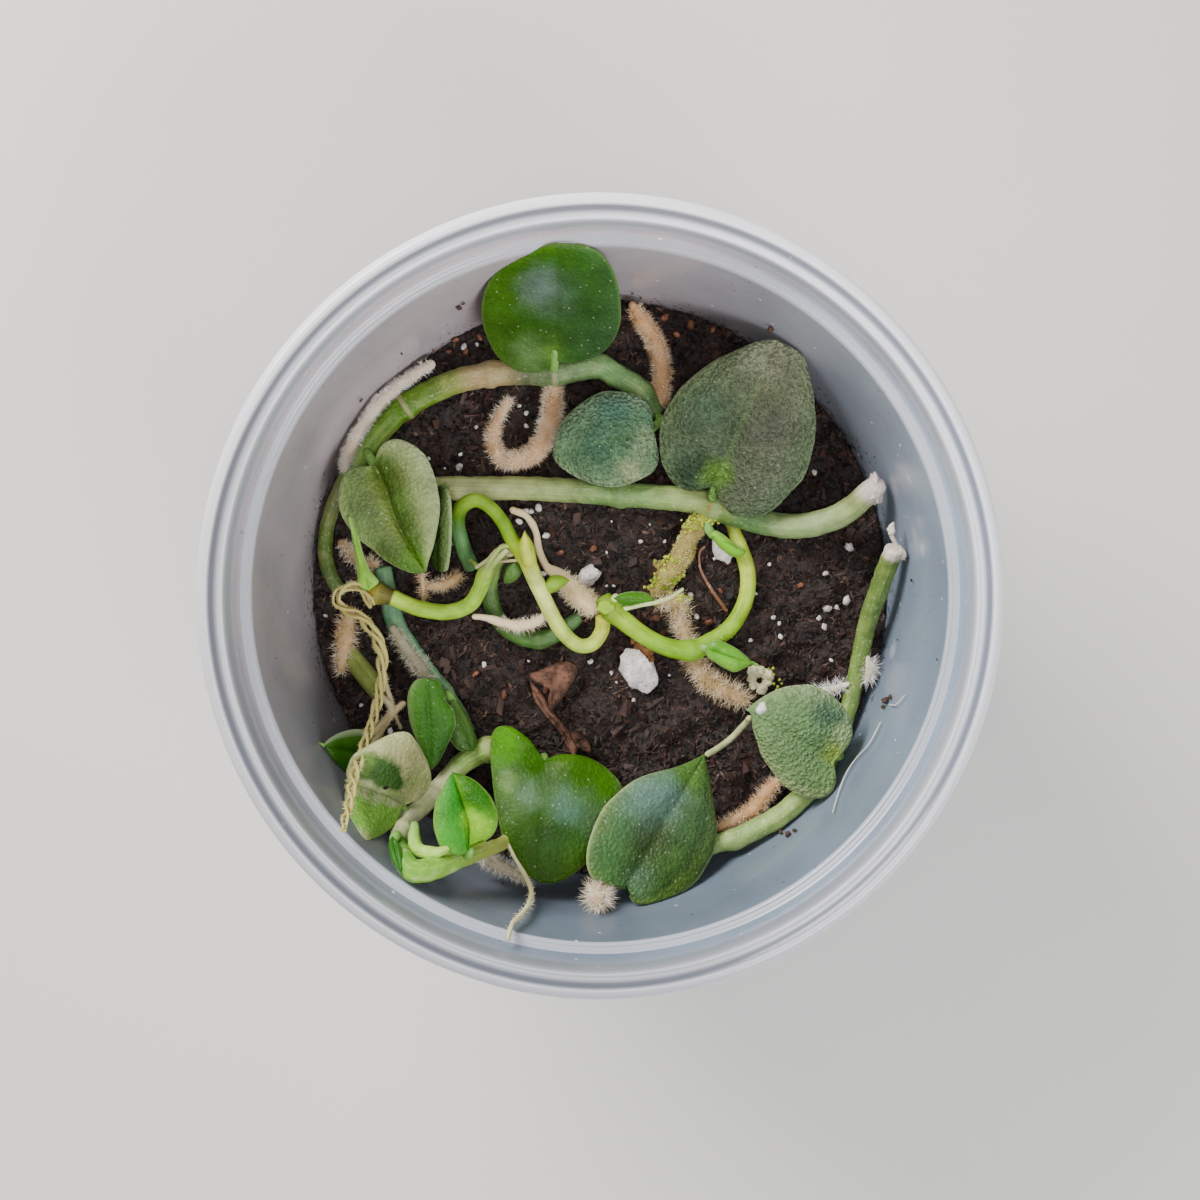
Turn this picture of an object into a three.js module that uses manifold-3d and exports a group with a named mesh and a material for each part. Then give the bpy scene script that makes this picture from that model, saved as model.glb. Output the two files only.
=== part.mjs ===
// A potted Rhaphidophora hayi: creeping vines with thick leaves and furry aerial
// roots, lying on dark bark soil in a milky round food tub with a stepped rim.
// Millimetres, +Z up, with the origin at the middle of the tub's foot.
import * as THREE from 'three';
import { mergeVertices } from 'three/addons/utils/BufferGeometryUtils.js';
import Module from 'manifold-3d';

const wasm = await Module();
wasm.setup();

// Driving dimensions of the tub and its filling
const RIM_RADIUS = 58.5;
const TUB_HEIGHT = 75;
const FOOT_RADIUS = 42.8;
const WALL = 1;
const LEDGE_HEIGHT = 65;
const LEDGE_RADIUS = 51.9;
const COLLAR_RADIUS = 54;
const FLOOR_THICKNESS = 1.6;
const SOIL_HEIGHT = 34;
const GAP = 0.3;

// How finely each kind of piece is faceted
const TUB_SEGMENTS = 56;
const SOIL_CELLS = 24;
const VINE_SIDES = 8;
const ROOT_SIDES = 6;
const STALK_SIDES = 5;
const VINE_PITCH = 3.2;
const ROOT_PITCH = 2.8;
const STALK_PITCH = 2.2;
const LARGE_LEAF = 16;

// Thickness of a blade at its middle and at its margin
const BLADE_MIDDLE = 1.1;
const BLADE_MARGIN = 0.7;
const STALK_RADIUS = 0.9;

// Colours of the finishes, as seen on the real plant
const MILKY_PLASTIC = 0xc3c6d2;
const BARK_SOIL = 0x2c1d17;
const PERLITE = 0xe4e0de;
const FURRY_ROOT = 0xc9a982;

const up = new THREE.Vector3(0, 0, 1);
const seat = SOIL_HEIGHT;

// Vines: each point is x, y, z and the stem's radius there
const vines = {
  vine_north: {
    color: 0x4f9226,
    route: [
      [9, 28.5, 36, 1.5], [6.8, 32, 36.4, 1.8], [2.5, 34.6, 36.7, 1.95], [-0.7, 36.1, 36.8, 2.1],
      [-7.4, 35, 36.8, 2.15], [-12.9, 35, 36.7, 2], [-17.7, 34.7, 36.6, 2], [-24.2, 33.2, 36.5, 2],
      [-31.5, 29.6, 36.6, 2], [-34.8, 26.5, 36.6, 1.95], [-37.6, 23, 36.6, 1.8],
      [-40.4, 19, 36.5, 1.5], [-42.6, 15, 36.3, 1.3], [-44.2, 10.5, 36.2, 1.2], [-44.6, 6.3, 36, 1.2],
      [-43.9, 2.5, 35.9, 1.2], [-42, -0.8, 35.7, 1.1],
    ],
  },
  vine_middle: {
    color: 0x7f9a68,
    route: [
      [-32.3, 15.7, 36.3, 1.8], [-26.5, 16.3, 36.4, 1.9], [-19.3, 16.3, 36.4, 1.95],
      [-9.6, 16.2, 36.4, 1.95], [3.3, 15.4, 36.4, 2], [13, 14.6, 36.8, 2], [18.7, 13.4, 37, 2.3],
      [25.9, 10.9, 37.3, 2], [32.3, 10.2, 38.4, 2], [38.5, 12, 41, 1.95], [42.6, 15.6, 44.6, 1.85],
      [43.7, 16.9, 46, 1.6],
    ],
  },
  vine_east: {
    color: 0x5f9a45,
    route: [
      [45.6, 6.8, 46, 1.5], [44.6, 0.8, 42, 1.6], [43.2, -5.8, 38, 1.5], [42, -12.3, 36.6, 1.4],
      [40.6, -18.8, 36.6, 1.4], [38.2, -24.8, 38, 1.6], [34.4, -31.1, 41.5, 1.7],
      [29.6, -35.7, 42, 1.75], [25.6, -38.1, 42, 1.7], [21.6, -40, 42, 1.6], [18.4, -40.8, 42, 1.55],
      [12.5, -43.4, 43, 1.5], [4.1, -45.8, 45, 1.5], [1.5, -45.6, 46, 1.1],
    ],
  },
  vine_south: {
    color: 0x8fa080,
    route: [
      [-14, -25.4, 37.2, 1.85], [-18.3, -26.1, 37.8, 1.95], [-21.7, -27.8, 38.6, 1.8],
      [-24.4, -30.4, 39.8, 1.65], [-26.6, -32.7, 41.6, 1.55], [-28.8, -34.7, 44.5, 1.5],
      [-30.3, -35.8, 47.5, 1.5], [-30.9, -37, 52, 1.5], [-30.8, -38.2, 58, 1.35],
      [-29.4, -40, 63, 1.6], [-27.8, -41.2, 64.6, 1.75], [-24.6, -41.1, 62, 1.7],
      [-21.9, -40.6, 58, 1.5], [-18.4, -40.1, 53, 1.2], [-14.8, -39.2, 48, 1.05],
      [-11.4, -35, 43.5, 1], [-9.6, -30.5, 40, 1], [-9.4, -27.5, 37.5, 1],
    ],
  },
  vine_west: {
    color: 0x4a7f6a,
    route: [
      [-35.3, 3.3, 35.8, 1.4], [-34.3, -1.5, 35.8, 1.55], [-33.2, -5.9, 35.8, 1.6],
      [-31.2, -9.4, 35.9, 1.65], [-28.2, -13.7, 36, 1.65], [-25.7, -16.9, 36, 1.6],
      [-23.2, -20.4, 36.1, 1.5], [-21.6, -23.4, 36.1, 1.4],
    ],
  },
  vine_loop: {
    color: 0x3f7f4f,
    route: [
      [-15.8, 5.6, 38.4, 1.2], [-17.2, 3.4, 37.3, 1.35], [-18, 0.7, 36.3, 1.4],
      [-17.6, -2.7, 35.7, 1.4], [-16, -5.7, 35.6, 1.4], [-13.2, -7.7, 35.6, 1.4],
      [-10, -8.3, 35.6, 1.4], [-7, -7.3, 35.7, 1.35], [-4.8, -5.6, 35.7, 1.2], [-3.4, -4.6, 35.7, 0.9],
    ],
  },
  shoot_west: {
    color: 0x9acb45,
    route: [
      [-37, -0.2, 39.6, 1.3], [-35.6, -0.6, 39.8, 1.6], [-33.2, -1.3, 40, 1.3], [-29.6, -2.9, 39, 1.3],
      [-25.1, -3.7, 38, 1.3], [-21.3, -2.6, 38.6, 1.3], [-19.4, 0, 40, 1.25], [-18.4, 2.5, 41.4, 1.2],
      [-16.9, 4.6, 42.1, 1.2], [-15.7, 5.7, 42.2, 1.2],
    ],
  },
  shoot_arch: {
    color: 0x95c840,
    route: [
      [-20.9, 3.6, 35.8, 1.3], [-22.1, 6.7, 37.8, 1.3], [-22.9, 10.6, 40, 1.25],
      [-22.2, 13.2, 41.8, 1.2], [-19.8, 14.4, 42.8, 1.15], [-17.4, 13.2, 43, 1.1],
      [-15.4, 10.8, 43, 1.1], [-13.8, 7.7, 42.8, 1.15], [-12, 5.8, 42.4, 1.45],
      [-11.2, 3.7, 41.8, 1.35], [-9.8, 0.4, 40.8, 1.3], [-8, -3.5, 39.6, 1.25],
      [-6.1, -6.8, 38.6, 1.25], [-3.6, -9.1, 37.2, 1.2], [-1.2, -8.9, 36.6, 1.2], [0.3, -6.7, 37, 1.2],
      [0.5, -4.6, 37.8, 1.2],
    ],
  },
  shoot_east: {
    color: 0x90c53c,
    route: [
      [0.5, -1.4, 39.6, 1.4], [2, -3.4, 39.9, 1.65], [6.6, -7.1, 39.2, 1.45], [10.8, -9.3, 38.4, 1.5],
      [14.8, -9.9, 37.6, 1.6], [17.2, -8.9, 37.2, 1.45], [21, -6.4, 36.6, 1.35], [23.4, -2.6, 36, 1.3],
      [24.1, 1.6, 35.8, 1.3], [23.2, 5.8, 35.6, 1.25], [21.8, 9.2, 35, 1.15],
    ],
  },
};

// Roots and other slender pieces, written the same way
const roots = {
  root_loop: {
    route: [
      [-7.6, 34.4, 36, 1.5], [-7.6, 31, 36.4, 1.9], [-8, 27.5, 36.6, 2], [-9.4, 23.6, 36.4, 2],
      [-12.3, 21.2, 36, 1.8], [-15.7, 21, 35.6, 1.6], [-17.4, 23.9, 35.5, 1.3],
      [-16.8, 27.2, 35.4, 1.1], [-15, 30.4, 35.2, 0.9],
    ],
  },
  root_north: {
    route: [
      [5.2, 45.6, 38.2, 1], [7, 43, 37.2, 1.6], [9, 39.8, 36.5, 1.7], [10, 36, 36.2, 1.7],
      [10, 32.6, 36, 1.7], [9.8, 30.4, 36, 1.4],
    ],
  },
  root_north_west: {
    route: [
      [-27.3, 36.3, 36.8, 1], [-31.9, 33.2, 38, 1.1], [-35.2, 30.1, 40, 1.2], [-37.6, 26.9, 40, 1.2],
      [-39.2, 24.3, 40, 1.2], [-40.5, 21.6, 39.6, 1.1], [-41.2, 19.5, 38.4, 1],
    ],
  },
  root_west_tuft: {
    color: 0xcdb59a,
    route: [[-40.4, -3.4, 37, 1.2], [-41, -6, 37, 1.8], [-41.5, -9, 36.6, 2], [-42.2, -13, 35.7, 1.3]],
  },
  root_under_leaf: {
    route: [[-42, 7.4, 35.8, 1.2], [-39, 4.4, 35.8, 1.5], [-36.6, 4, 35.8, 1.4]],
  },
  root_twisted: {
    color: 0xc9bf60,
    route: [
      [-36.5, -2.4, 42, 0.8], [-38.2, 0.3, 42.5, 0.9], [-40.6, 0.4, 42.8, 0.9], [-42, -1.3, 42.8, 0.9],
      [-40.6, -2.9, 42.3, 1], [-38.4, -3.8, 42, 1.05], [-36.1, -6.6, 41.6, 1.2],
      [-34.9, -9.8, 41.4, 1.3], [-35, -14.3, 42.4, 1.1], [-35.7, -18.8, 45.6, 1],
      [-36.8, -23.4, 51.6, 1], [-37.6, -27.2, 57, 1], [-37.6, -30.9, 63, 0.9], [-37.9, -34.6, 69, 0.7],
    ],
  },
  root_branch: {
    color: 0xcdb98a,
    route: [
      [-34.4, -15.2, 40.4, 0.7], [-33.6, -19, 39.6, 0.7], [-34.6, -22, 42, 0.7], [-35.8, -24, 47, 0.7],
    ],
  },
  root_grey_brush: {
    color: 0xb3a893,
    route: [[-33.4, -6.4, 38.7, 1.2], [-31.2, -9.6, 39, 1.5], [-29, -12.6, 39, 1.5], [-27.4, -15, 38.6, 1]],
  },
  root_mossy: {
    color: 0x9fa03a,
    route: [
      [17, 11.4, 35.8, 1.5], [14.7, 8.7, 36, 1.7], [13.2, 5.4, 36, 1.9], [11, 2.2, 35.8, 2],
      [9.5, -0.2, 35.6, 1.5],
    ],
  },
  root_long: {
    route: [
      [12.2, -3.4, 35.4, 1.2], [13.6, -7, 35.2, 1.3], [15.5, -11.8, 35.5, 1.7],
      [18, -15.2, 35.8, 1.8], [21.2, -16.8, 35.7, 1.7], [23.8, -18.6, 35.4, 1.2],
    ],
  },
  root_fat: {
    color: 0xc8b49c,
    route: [
      [-14.2, 12.8, 36.2, 0.6], [-12.1, 11.9, 35.6, 0.7], [-10.5, 9.5, 35.3, 0.7],
      [-10, 6.6, 35.1, 0.7], [-8.8, 3.8, 35.2, 0.8], [-6.4, 2, 35.8, 1.4], [-4, -0.6, 36.6, 1.95],
      [-1.5, -2.7, 36.9, 1.7],
    ],
  },
  root_pale: {
    color: 0xdcb898,
    route: [
      [-20.3, -4.4, 38.2, 0.6], [-18.4, -4.6, 38.4, 0.8], [-16, -5.3, 38.4, 1], [-13.2, -5.9, 38.4, 1.1],
      [-10.4, -5.4, 38, 0.9], [-9.2, -4.4, 37.6, 0.7],
    ],
  },
  root_east_brush: {
    route: [
      [29.2, -31.3, 36.5, 1.3], [26.8, -33.7, 36.6, 1.5], [25.5, -35.8, 37, 1.7],
      [22.8, -37.4, 37, 1.6], [19.8, -38.7, 37.8, 1.3],
    ],
  },
  root_south_ball: {
    color: 0xcbb9a2,
    route: [
      [1.2, -45.8, 47, 0.9], [-0.2, -46.8, 49.4, 1.5], [-0.3, -47.6, 51.8, 2.1],
      [-0.2, -48, 53.6, 1.1],
    ],
  },
  root_on_wall: {
    color: 0xcfc39a,
    route: [
      [-14.6, -39.4, 48.8, 0.7], [-12.2, -43.6, 50, 0.8], [-10.9, -45.9, 51.2, 0.8],
      [-10.7, -47.4, 53.5, 0.8], [-11.4, -48.2, 59, 0.8], [-13.1, -49, 65, 0.75],
      [-13.7, -50.8, 67.6, 0.6],
    ],
  },
  root_east_fringe: {
    color: 0xd6cbb8,
    route: [[43.6, -12.6, 38.2, 0.9], [40.6, -15.2, 38, 1], [37.8, -16.2, 36.4, 1.2], [35.6, -17, 35.8, 1]],
  },
  root_middle_fuzz: {
    color: 0x8a6a48,
    route: [[-28, 0.4, 35.6, 1], [-25.6, 0.6, 35.8, 1.3], [-23.6, 1.6, 35.9, 1.2], [-22.8, 2.2, 35.8, 0.8]],
  },
  root_grey_mat: {
    color: 0xa59a88,
    route: [
      [-18, -40.4, 51.4, 0.8], [-18.4, -41.8, 48.4, 1.2], [-15.6, -43.3, 48, 1.5],
      [-12.1, -45, 48.8, 0.9],
    ],
  },
  tendril_dry: {
    color: 0xb9c48a,
    route: [
      [17.4, -26.6, 39.4, 0.5], [19.4, -25.6, 38, 0.5], [21.4, -24.2, 37, 0.5],
      [23.6, -21.6, 38.6, 0.5], [24, -20.6, 41, 0.5],
    ],
  },
  twig: {
    color: 0x6a4428,
    route: [[16.4, 3, 35.2, 0.6], [18.4, 0, 35.4, 0.6], [20.3, -3.2, 35.1, 0.5]],
  },
  bract_hook: {
    color: 0x9ccf4a,
    route: [
      [-28.4, -35.4, 57.6, 0.7], [-28.3, -37.3, 59, 1], [-27.5, -38.7, 60.4, 1.1],
      [-25, -38.8, 62.2, 0.9], [-23.2, -38.2, 62.2, 0.5],
    ],
  },
};

// Blades: notch and apex are the two ends of the midrib. left and right are the half widths seen
// along the midrib from the notch, and lobes says how far each ear reaches back past the notch.
// tilt and folds are in degrees and raise the blade's left side, its left half and its right half.
// arch lifts the middle, curl drops the margins, and stalk runs on from the notch to the stem.
// outline gives the place of the widest part on each side and how blunt the apex and the base are.
const blades = {
  leaf_north: {
    color: 0x2c5a12, notch: [-7.2, 36.4, 42.2], apex: [-7, 51.4, 65.8], left: 11.2, right: 10.2,
    lobes: [2.6, 2.2], tilt: 0, folds: [6, 6], arch: -1.2, curl: 0.8, tip: 0.3, outline: [1, 1, 0.95, 0.36],
    stalk: [[-7.4, 35.6, 40], [-8, 36, 37]],
  },
  leaf_west: {
    color: 0x5a7a3f, notch: [-35.9, 20.2, 43.4], apex: [-28.1, 2.7, 41], left: 7.6, right: 8,
    lobes: [2.8, 0.8], tilt: -6, folds: [20, 6], arch: 1.2, curl: 0.6, tip: 0.6, outline: [1.25, 1.25, 1.2, 0.5],
    stalk: [[-36.8, 21.4, 41], [-37.8, 22.4, 37]],
  },
  leaf_edge: {
    color: 0x3f5a24, notch: [-25.8, 15.6, 41.2], apex: [-26.8, 3.7, 38.6], left: 3.4, right: 3.4,
    lobes: [0.8, 0.8], tilt: 66, folds: [0, 0], arch: 0.6, curl: 0, tip: 0.6, outline: [1.1, 1.1, 1, 0.6],
    stalk: [[-25, 16.4, 39.6], [-25.2, 16.3, 37]],
  },
  leaf_blue: {
    color: 0x3f6c5c, notch: [8.6, 25.8, 40.2], apex: [-7.4, 21.9, 41.2], left: 6.8, right: 7.8,
    lobes: [0.8, 1], tilt: -3, folds: [4, 0], arch: 1.2, curl: 0.8, tip: 0.5, outline: [1.2, 1.2, 1.1, 0.42],
    stalk: [[9.6, 27, 38.8], [9, 28.4, 36.5]],
  },
  leaf_grey: {
    color: 0x5f6f58, notch: [18.6, 17.2, 42], apex: [27.8, 38.8, 47], left: 11.6, right: 10.9,
    lobes: [3.2, 3.4], tilt: -4, folds: [4, 2], arch: 1.2, curl: 0.8, tip: 0.4, outline: [1.15, 1.3, 1.2, 0.5],
    stalk: [[18, 15.6, 40.6], [18, 13.8, 37.5]],
  },
  leaf_east: {
    color: 0x5f8660, notch: [37.2, -25.9, 45.5], apex: [23.8, -19.1, 43.5], left: 8.1, right: 8.1,
    lobes: [2.4, 1.8], tilt: 4, folds: [4, 4], arch: 1.2, curl: 0.8, tip: 0.6, outline: [1.6, 1.05, 1.4, 0.5],
    stalk: [[38.2, -26.4, 43.4], [37.6, -26.2, 39.6]],
  },
  leaf_south_east: {
    color: 0x3f6a3a, notch: [3.9, -45.8, 50], apex: [16.4, -26.7, 40], left: 9.6, right: 9.6,
    lobes: [1.8, 1.8], tilt: 4, folds: [6, 6], arch: 1, curl: 1, tip: 0.8, outline: [1.15, 1.3, 1.3, 0.45],
    stalk: [[3.6, -46.2, 48.2], [4, -45.8, 45.4]],
  },
  leaf_south: {
    color: 0x3c6a20, notch: [-8.9, -27.2, 44.4], apex: [-8.3, -45.6, 50.2], left: 12, right: 8.5,
    lobes: [2, 6.6], tilt: 2, folds: [10, 6], arch: 1, curl: 0.8, tip: 0.5, outline: [1.25, 1.25, 0.95, 0.42],
    stalk: [[-9, -26.8, 42], [-9.5, -29.4, 40]],
  },
  leaf_folded: {
    color: 0x3fa060, notch: [-19.4, -38.2, 60.4], apex: [-21.8, -27.1, 57.6], left: 4.6, right: 5.6,
    lobes: [1.6, 1.6], tilt: 4, folds: [24, 24], arch: 0.8, curl: 0.2, tip: 0.6, outline: [1, 1, 1, 0.5],
    stalk: [[-19.8, -39.2, 60.2], [-20.4, -39.8, 58.4]],
  },
  leaf_lower: {
    color: 0x3f7a2a, notch: [-26.6, -15.8, 43.4], apex: [-26.9, -29, 43], left: 3.8, right: 4,
    lobes: [2, 2], tilt: 0, folds: [4, 4], arch: 0.8, curl: 0.4, tip: 0.6, outline: [1.25, 1.25, 1.25, 0.5],
    stalk: [[-26.4, -15, 41.4], [-26.4, -15.8, 37]],
  },
  leaf_shaded: {
    color: 0x2f5418, notch: [-24, -17.4, 40.4], apex: [-19.8, -26, 41], left: 3, right: 3,
    lobes: [0.8, 0.8], tilt: -50, folds: [0, 0], arch: 0.4, curl: 0, tip: 0.4, outline: [1.1, 1.1, 1, 0.5],
    stalk: [[-24.6, -17, 38.6], [-25, -17.8, 36.5]],
  },
  leaf_far_west: {
    color: 0x1f4f0f, notch: [-34.6, -26.6, 43.4], apex: [-43, -24.4, 50.6], left: 4, right: 4,
    lobes: [1.2, 1.2], tilt: 8, folds: [6, 6], arch: 0.6, curl: 0.3, tip: 0.5, outline: [1.2, 1.2, 1.1, 0.5],
    stalk: [[-33, -28, 41.6], [-28.8, -31.6, 40], [-26.6, -32.7, 41.4]],
  },
  leaf_mottled: {
    color: 0x7f9060, notch: [-31.2, -33.4, 48], apex: [-38.8, -29.5, 53.6], left: 11.6, right: 9.4,
    lobes: [3, 2.4], tilt: 0, folds: [62, 4], arch: 1, curl: 0.4, tip: 0.3, outline: [0.9, 1.6, 1, 0.4],
    stalk: [[-30.7, -34.8, 47.6], [-30.3, -35.8, 47.4]],
  },
  leaf_dark_tip: {
    color: 0x2f6a1a, notch: [-31, -36.4, 60.8], apex: [-29.8, -40.8, 66], left: 1.9, right: 1.9,
    lobes: [0.4, 0.4], tilt: 0, folds: [8, 8], arch: 0.3, curl: 0, tip: 0.3, outline: [1, 1, 0.8, 0.6],
    stalk: [[-31, -36.6, 59], [-31, -37.8, 57]],
  },
  leaf_bud: {
    color: 0x6fae2c, notch: [17.6, -9.6, 40], apex: [24.4, -12.6, 38.8], left: 2, right: 2,
    lobes: [0.5, 0.5], tilt: 0, folds: [22, 22], arch: 0.6, curl: 0, tip: 0.5, outline: [1.1, 1.1, 0.9, 0.6],
    stalk: [[16.8, -9.4, 39], [16, -9.6, 37.6]],
  },
  bract_west: {
    color: 0x7fb52f, notch: [-37.2, 1.6, 41.4], apex: [-39.8, 12, 44.4], left: 1.6, right: 1.7,
    lobes: [0.2, 0.2], tilt: -10, folds: [30, 30], arch: 0.4, curl: 0, tip: 0.8, outline: [1.4, 1.4, 1.2, 0.6],
    stalk: [[-37, 0.9, 40.8], [-36.6, 0, 40]],
  },
  bract_east: {
    color: 0x7fae45, notch: [17.8, 8.9, 38.6], apex: [23.2, 5.4, 38.6], left: 1.1, right: 1.1,
    lobes: [0.2, 0.2], tilt: 0, folds: [20, 20], arch: 0.4, curl: 0, tip: 0.5, outline: [1.1, 1.1, 1, 0.6],
    stalk: [[17.4, 10, 38], [17.4, 12, 37]],
  },
  leaf_small_dark: {
    color: 0x39521c, notch: [3, -1.5, 40.8], apex: [9, -1.6, 39.8], left: 1.5, right: 1.4,
    lobes: [0.3, 0.3], tilt: 0, folds: [8, 8], arch: 0.6, curl: 0, tip: 0.5, outline: [1.1, 1.1, 1, 0.6],
    stalk: [[2.2, -1.8, 40.4], [1.2, -2.4, 39.8]],
  },
  leaf_old: {
    color: 0x6f7540, notch: [-39.2, -7.2, 36.2], apex: [-33, -17.6, 35.8], left: 1.9, right: 1.9,
    lobes: [0.2, 0.2], tilt: 0, folds: [6, 6], arch: 0.4, curl: 0, tip: 0.4, outline: [1.1, 1.1, 0.9, 0.6],
    stalk: [],
  },
  bark_flake: {
    color: 0x6b3a2a, notch: [-8.4, -13.6, 35.2], apex: [-3, -27.2, 35], left: 2.4, right: 2.6,
    lobes: [0.6, 0.6], tilt: 6, folds: [14, 10], arch: 0.5, curl: 0, tip: 0.4, outline: [1.4, 1.4, 1.2, 0.6],
    stalk: [],
  },
};

// Large grains of perlite: middle, half sizes and a turn about the upright, in degrees
const grains = {
  perlite_largest: { middle: [6.3, -12.9, 35.6], half: [2.6, 3.7, 1.7], turn: 20 },
  perlite_middle: { middle: [-1.8, 2.2, 35], half: [1.8, 1.6, 1.2], turn: 30 },
  perlite_oval: { middle: [19.9, 6.4, 35], half: [1.4, 2.3, 1.1], turn: 25 },
  perlite_mossy: { middle: [26, -14.8, 35.2], half: [1.9, 1.9, 1.4], turn: 0 },
};

// Small perlite that is pressed into the soil
const SMALL_GRAINS = 28;
const SMALL_GRAIN_SIZES = [0.55, 1.15];
const SEED = 20;

// A repeatable draw of numbers from 0 to 1
function seededDraw(seed) {
  let state = seed;
  return () => {
    state = (state * 1664525 + 1013904223) % 4294967296;
    return state / 4294967296;
  };
}

// Radius of the tub's inner wall at a height below the ledge
function wallRadius(z) {
  const foot = FOOT_RADIUS - WALL;
  return foot + (LEDGE_RADIUS - foot) * z / LEDGE_HEIGHT;
}

// A closed mesh becomes a solid that can be joined and cut
function toSolid(geometry) {
  const bare = new THREE.BufferGeometry();
  bare.setAttribute('position', geometry.getAttribute('position').clone());
  bare.setIndex(geometry.getIndex());
  const merged = mergeVertices(bare, 1e-4);
  return new wasm.Manifold(new wasm.Mesh({
    numProp: 3,
    vertProperties: new Float32Array(merged.getAttribute('position').array),
    triVerts: new Uint32Array(merged.getIndex().array),
  }));
}

function toGeometry(solid) {
  const mesh = solid.getMesh();
  const geometry = new THREE.BufferGeometry();
  geometry.setAttribute('position', new THREE.BufferAttribute(mesh.vertProperties, 3));
  geometry.setIndex(new THREE.BufferAttribute(mesh.triVerts, 1));
  geometry.computeVertexNormals();
  return geometry;
}

function meshFrom(points, faces) {
  const geometry = new THREE.BufferGeometry();
  geometry.setAttribute('position', new THREE.Float32BufferAttribute(points.flat(), 3));
  geometry.setIndex(faces.flat());
  return geometry;
}

// The curve through a route, with the radius at each share of its length
function follow(route) {
  const curve = new THREE.CatmullRomCurve3(
    route.map(([x, y, z]) => new THREE.Vector3(x, y, z)), false, 'centripetal');
  const radiusAt = (u) => {
    const place = curve.getUtoTmapping(u) * (route.length - 1);
    const before = Math.min(Math.floor(place), route.length - 2);
    return THREE.MathUtils.lerp(route[before][3], route[before + 1][3], place - before);
  };
  return { curve, radiusAt };
}

// A closed stem of changing thickness along a route, grown by a margin where wanted
function sweep(route, sides, pitch, margin = 0) {
  const { curve, radiusAt } = follow(route);
  const steps = Math.max(4, Math.round(curve.getLength() / pitch));
  const frames = curve.computeFrenetFrames(steps, false);
  const points = [];
  const faces = [];
  for (let i = 0; i <= steps; i++) {
    const reach = margin * (i === 0 ? -1 : i === steps ? 1 : 0);
    const centre = curve.getPointAt(i / steps).addScaledVector(frames.tangents[i], reach);
    const radius = radiusAt(i / steps) + margin;
    for (let k = 0; k < sides; k++) {
      const angle = 2 * Math.PI * k / sides;
      const point = centre.clone()
        .addScaledVector(frames.normals[i], radius * Math.cos(angle))
        .addScaledVector(frames.binormals[i], radius * Math.sin(angle));
      points.push(point.toArray());
    }
  }
  const at = (i, k) => i * sides + k % sides;
  for (let i = 0; i < steps; i++) {
    for (let k = 0; k < sides; k++) {
      faces.push([at(i, k), at(i, k + 1), at(i + 1, k + 1)], [at(i, k), at(i + 1, k + 1), at(i + 1, k)]);
    }
  }
  for (let k = 1; k < sides - 1; k++) {
    faces.push([at(0, 0), at(0, k + 1), at(0, k)], [at(steps, 0), at(steps, k), at(steps, k + 1)]);
  }
  return toSolid(meshFrom(points, faces));
}

// One half of a heart-shaped outline: s runs from 0 at the apex to 1 at the notch
function halfOutline(blade, length, isLeft, s) {
  const half = isLeft ? blade.left : blade.right;
  const lobe = blade.lobes[isLeft ? 0 : 1];
  const widest = blade.outline[isLeft ? 0 : 1];
  const [, , apexPower, basePower] = blade.outline;
  const ear = Math.sin(Math.PI * Math.pow(THREE.MathUtils.clamp((s - 0.58) / 0.42, 0, 1), 1.3));
  const point = blade.tip * Math.pow(Math.max(0, 1 - s / 0.16), 2);
  const turn = Math.pow(s, widest);
  const swell = Math.pow(Math.sin(Math.PI * turn), turn < 0.5 ? apexPower : basePower);
  return {
    along: length * (1 + Math.cos(Math.PI * s)) / 2 - lobe * ear + point,
    across: half * swell,
  };
}

// The blade's own directions: along the midrib, to its left and up from its face
function bladeFrame(blade) {
  const notch = new THREE.Vector3(...blade.notch);
  const along = new THREE.Vector3(...blade.apex).sub(notch);
  const length = along.length();
  along.normalize();
  const left = up.clone().cross(along).normalize().applyAxisAngle(along, -THREE.MathUtils.degToRad(blade.tilt));
  const face = along.clone().cross(left);
  return { notch, along, left, face, length };
}

// The point of the blade's middle surface at a place along and across it
function bladePoint(blade, frame, a, b) {
  const half = b > 0 ? blade.left : blade.right;
  const fold = THREE.MathUtils.degToRad(b > 0 ? blade.folds[0] : blade.folds[1]);
  const crease = Math.hypot(b, 1) - 1;
  const middle = 2 * a / frame.length - 1;
  const lift = crease * Math.sin(fold) + blade.arch * (1 - middle * middle) - blade.curl * (b / half) ** 2;
  return frame.notch.clone()
    .addScaledVector(frame.along, a)
    .addScaledVector(frame.left, b * Math.cos(fold))
    .addScaledVector(frame.face, lift);
}

function bladeNormal(blade, frame, a, b) {
  const step = 0.1;
  const ahead = bladePoint(blade, frame, a + step, b).sub(bladePoint(blade, frame, a - step, b));
  const aside = bladePoint(blade, frame, a, b + step).sub(bladePoint(blade, frame, a, b - step));
  return ahead.cross(aside).normalize();
}

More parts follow.
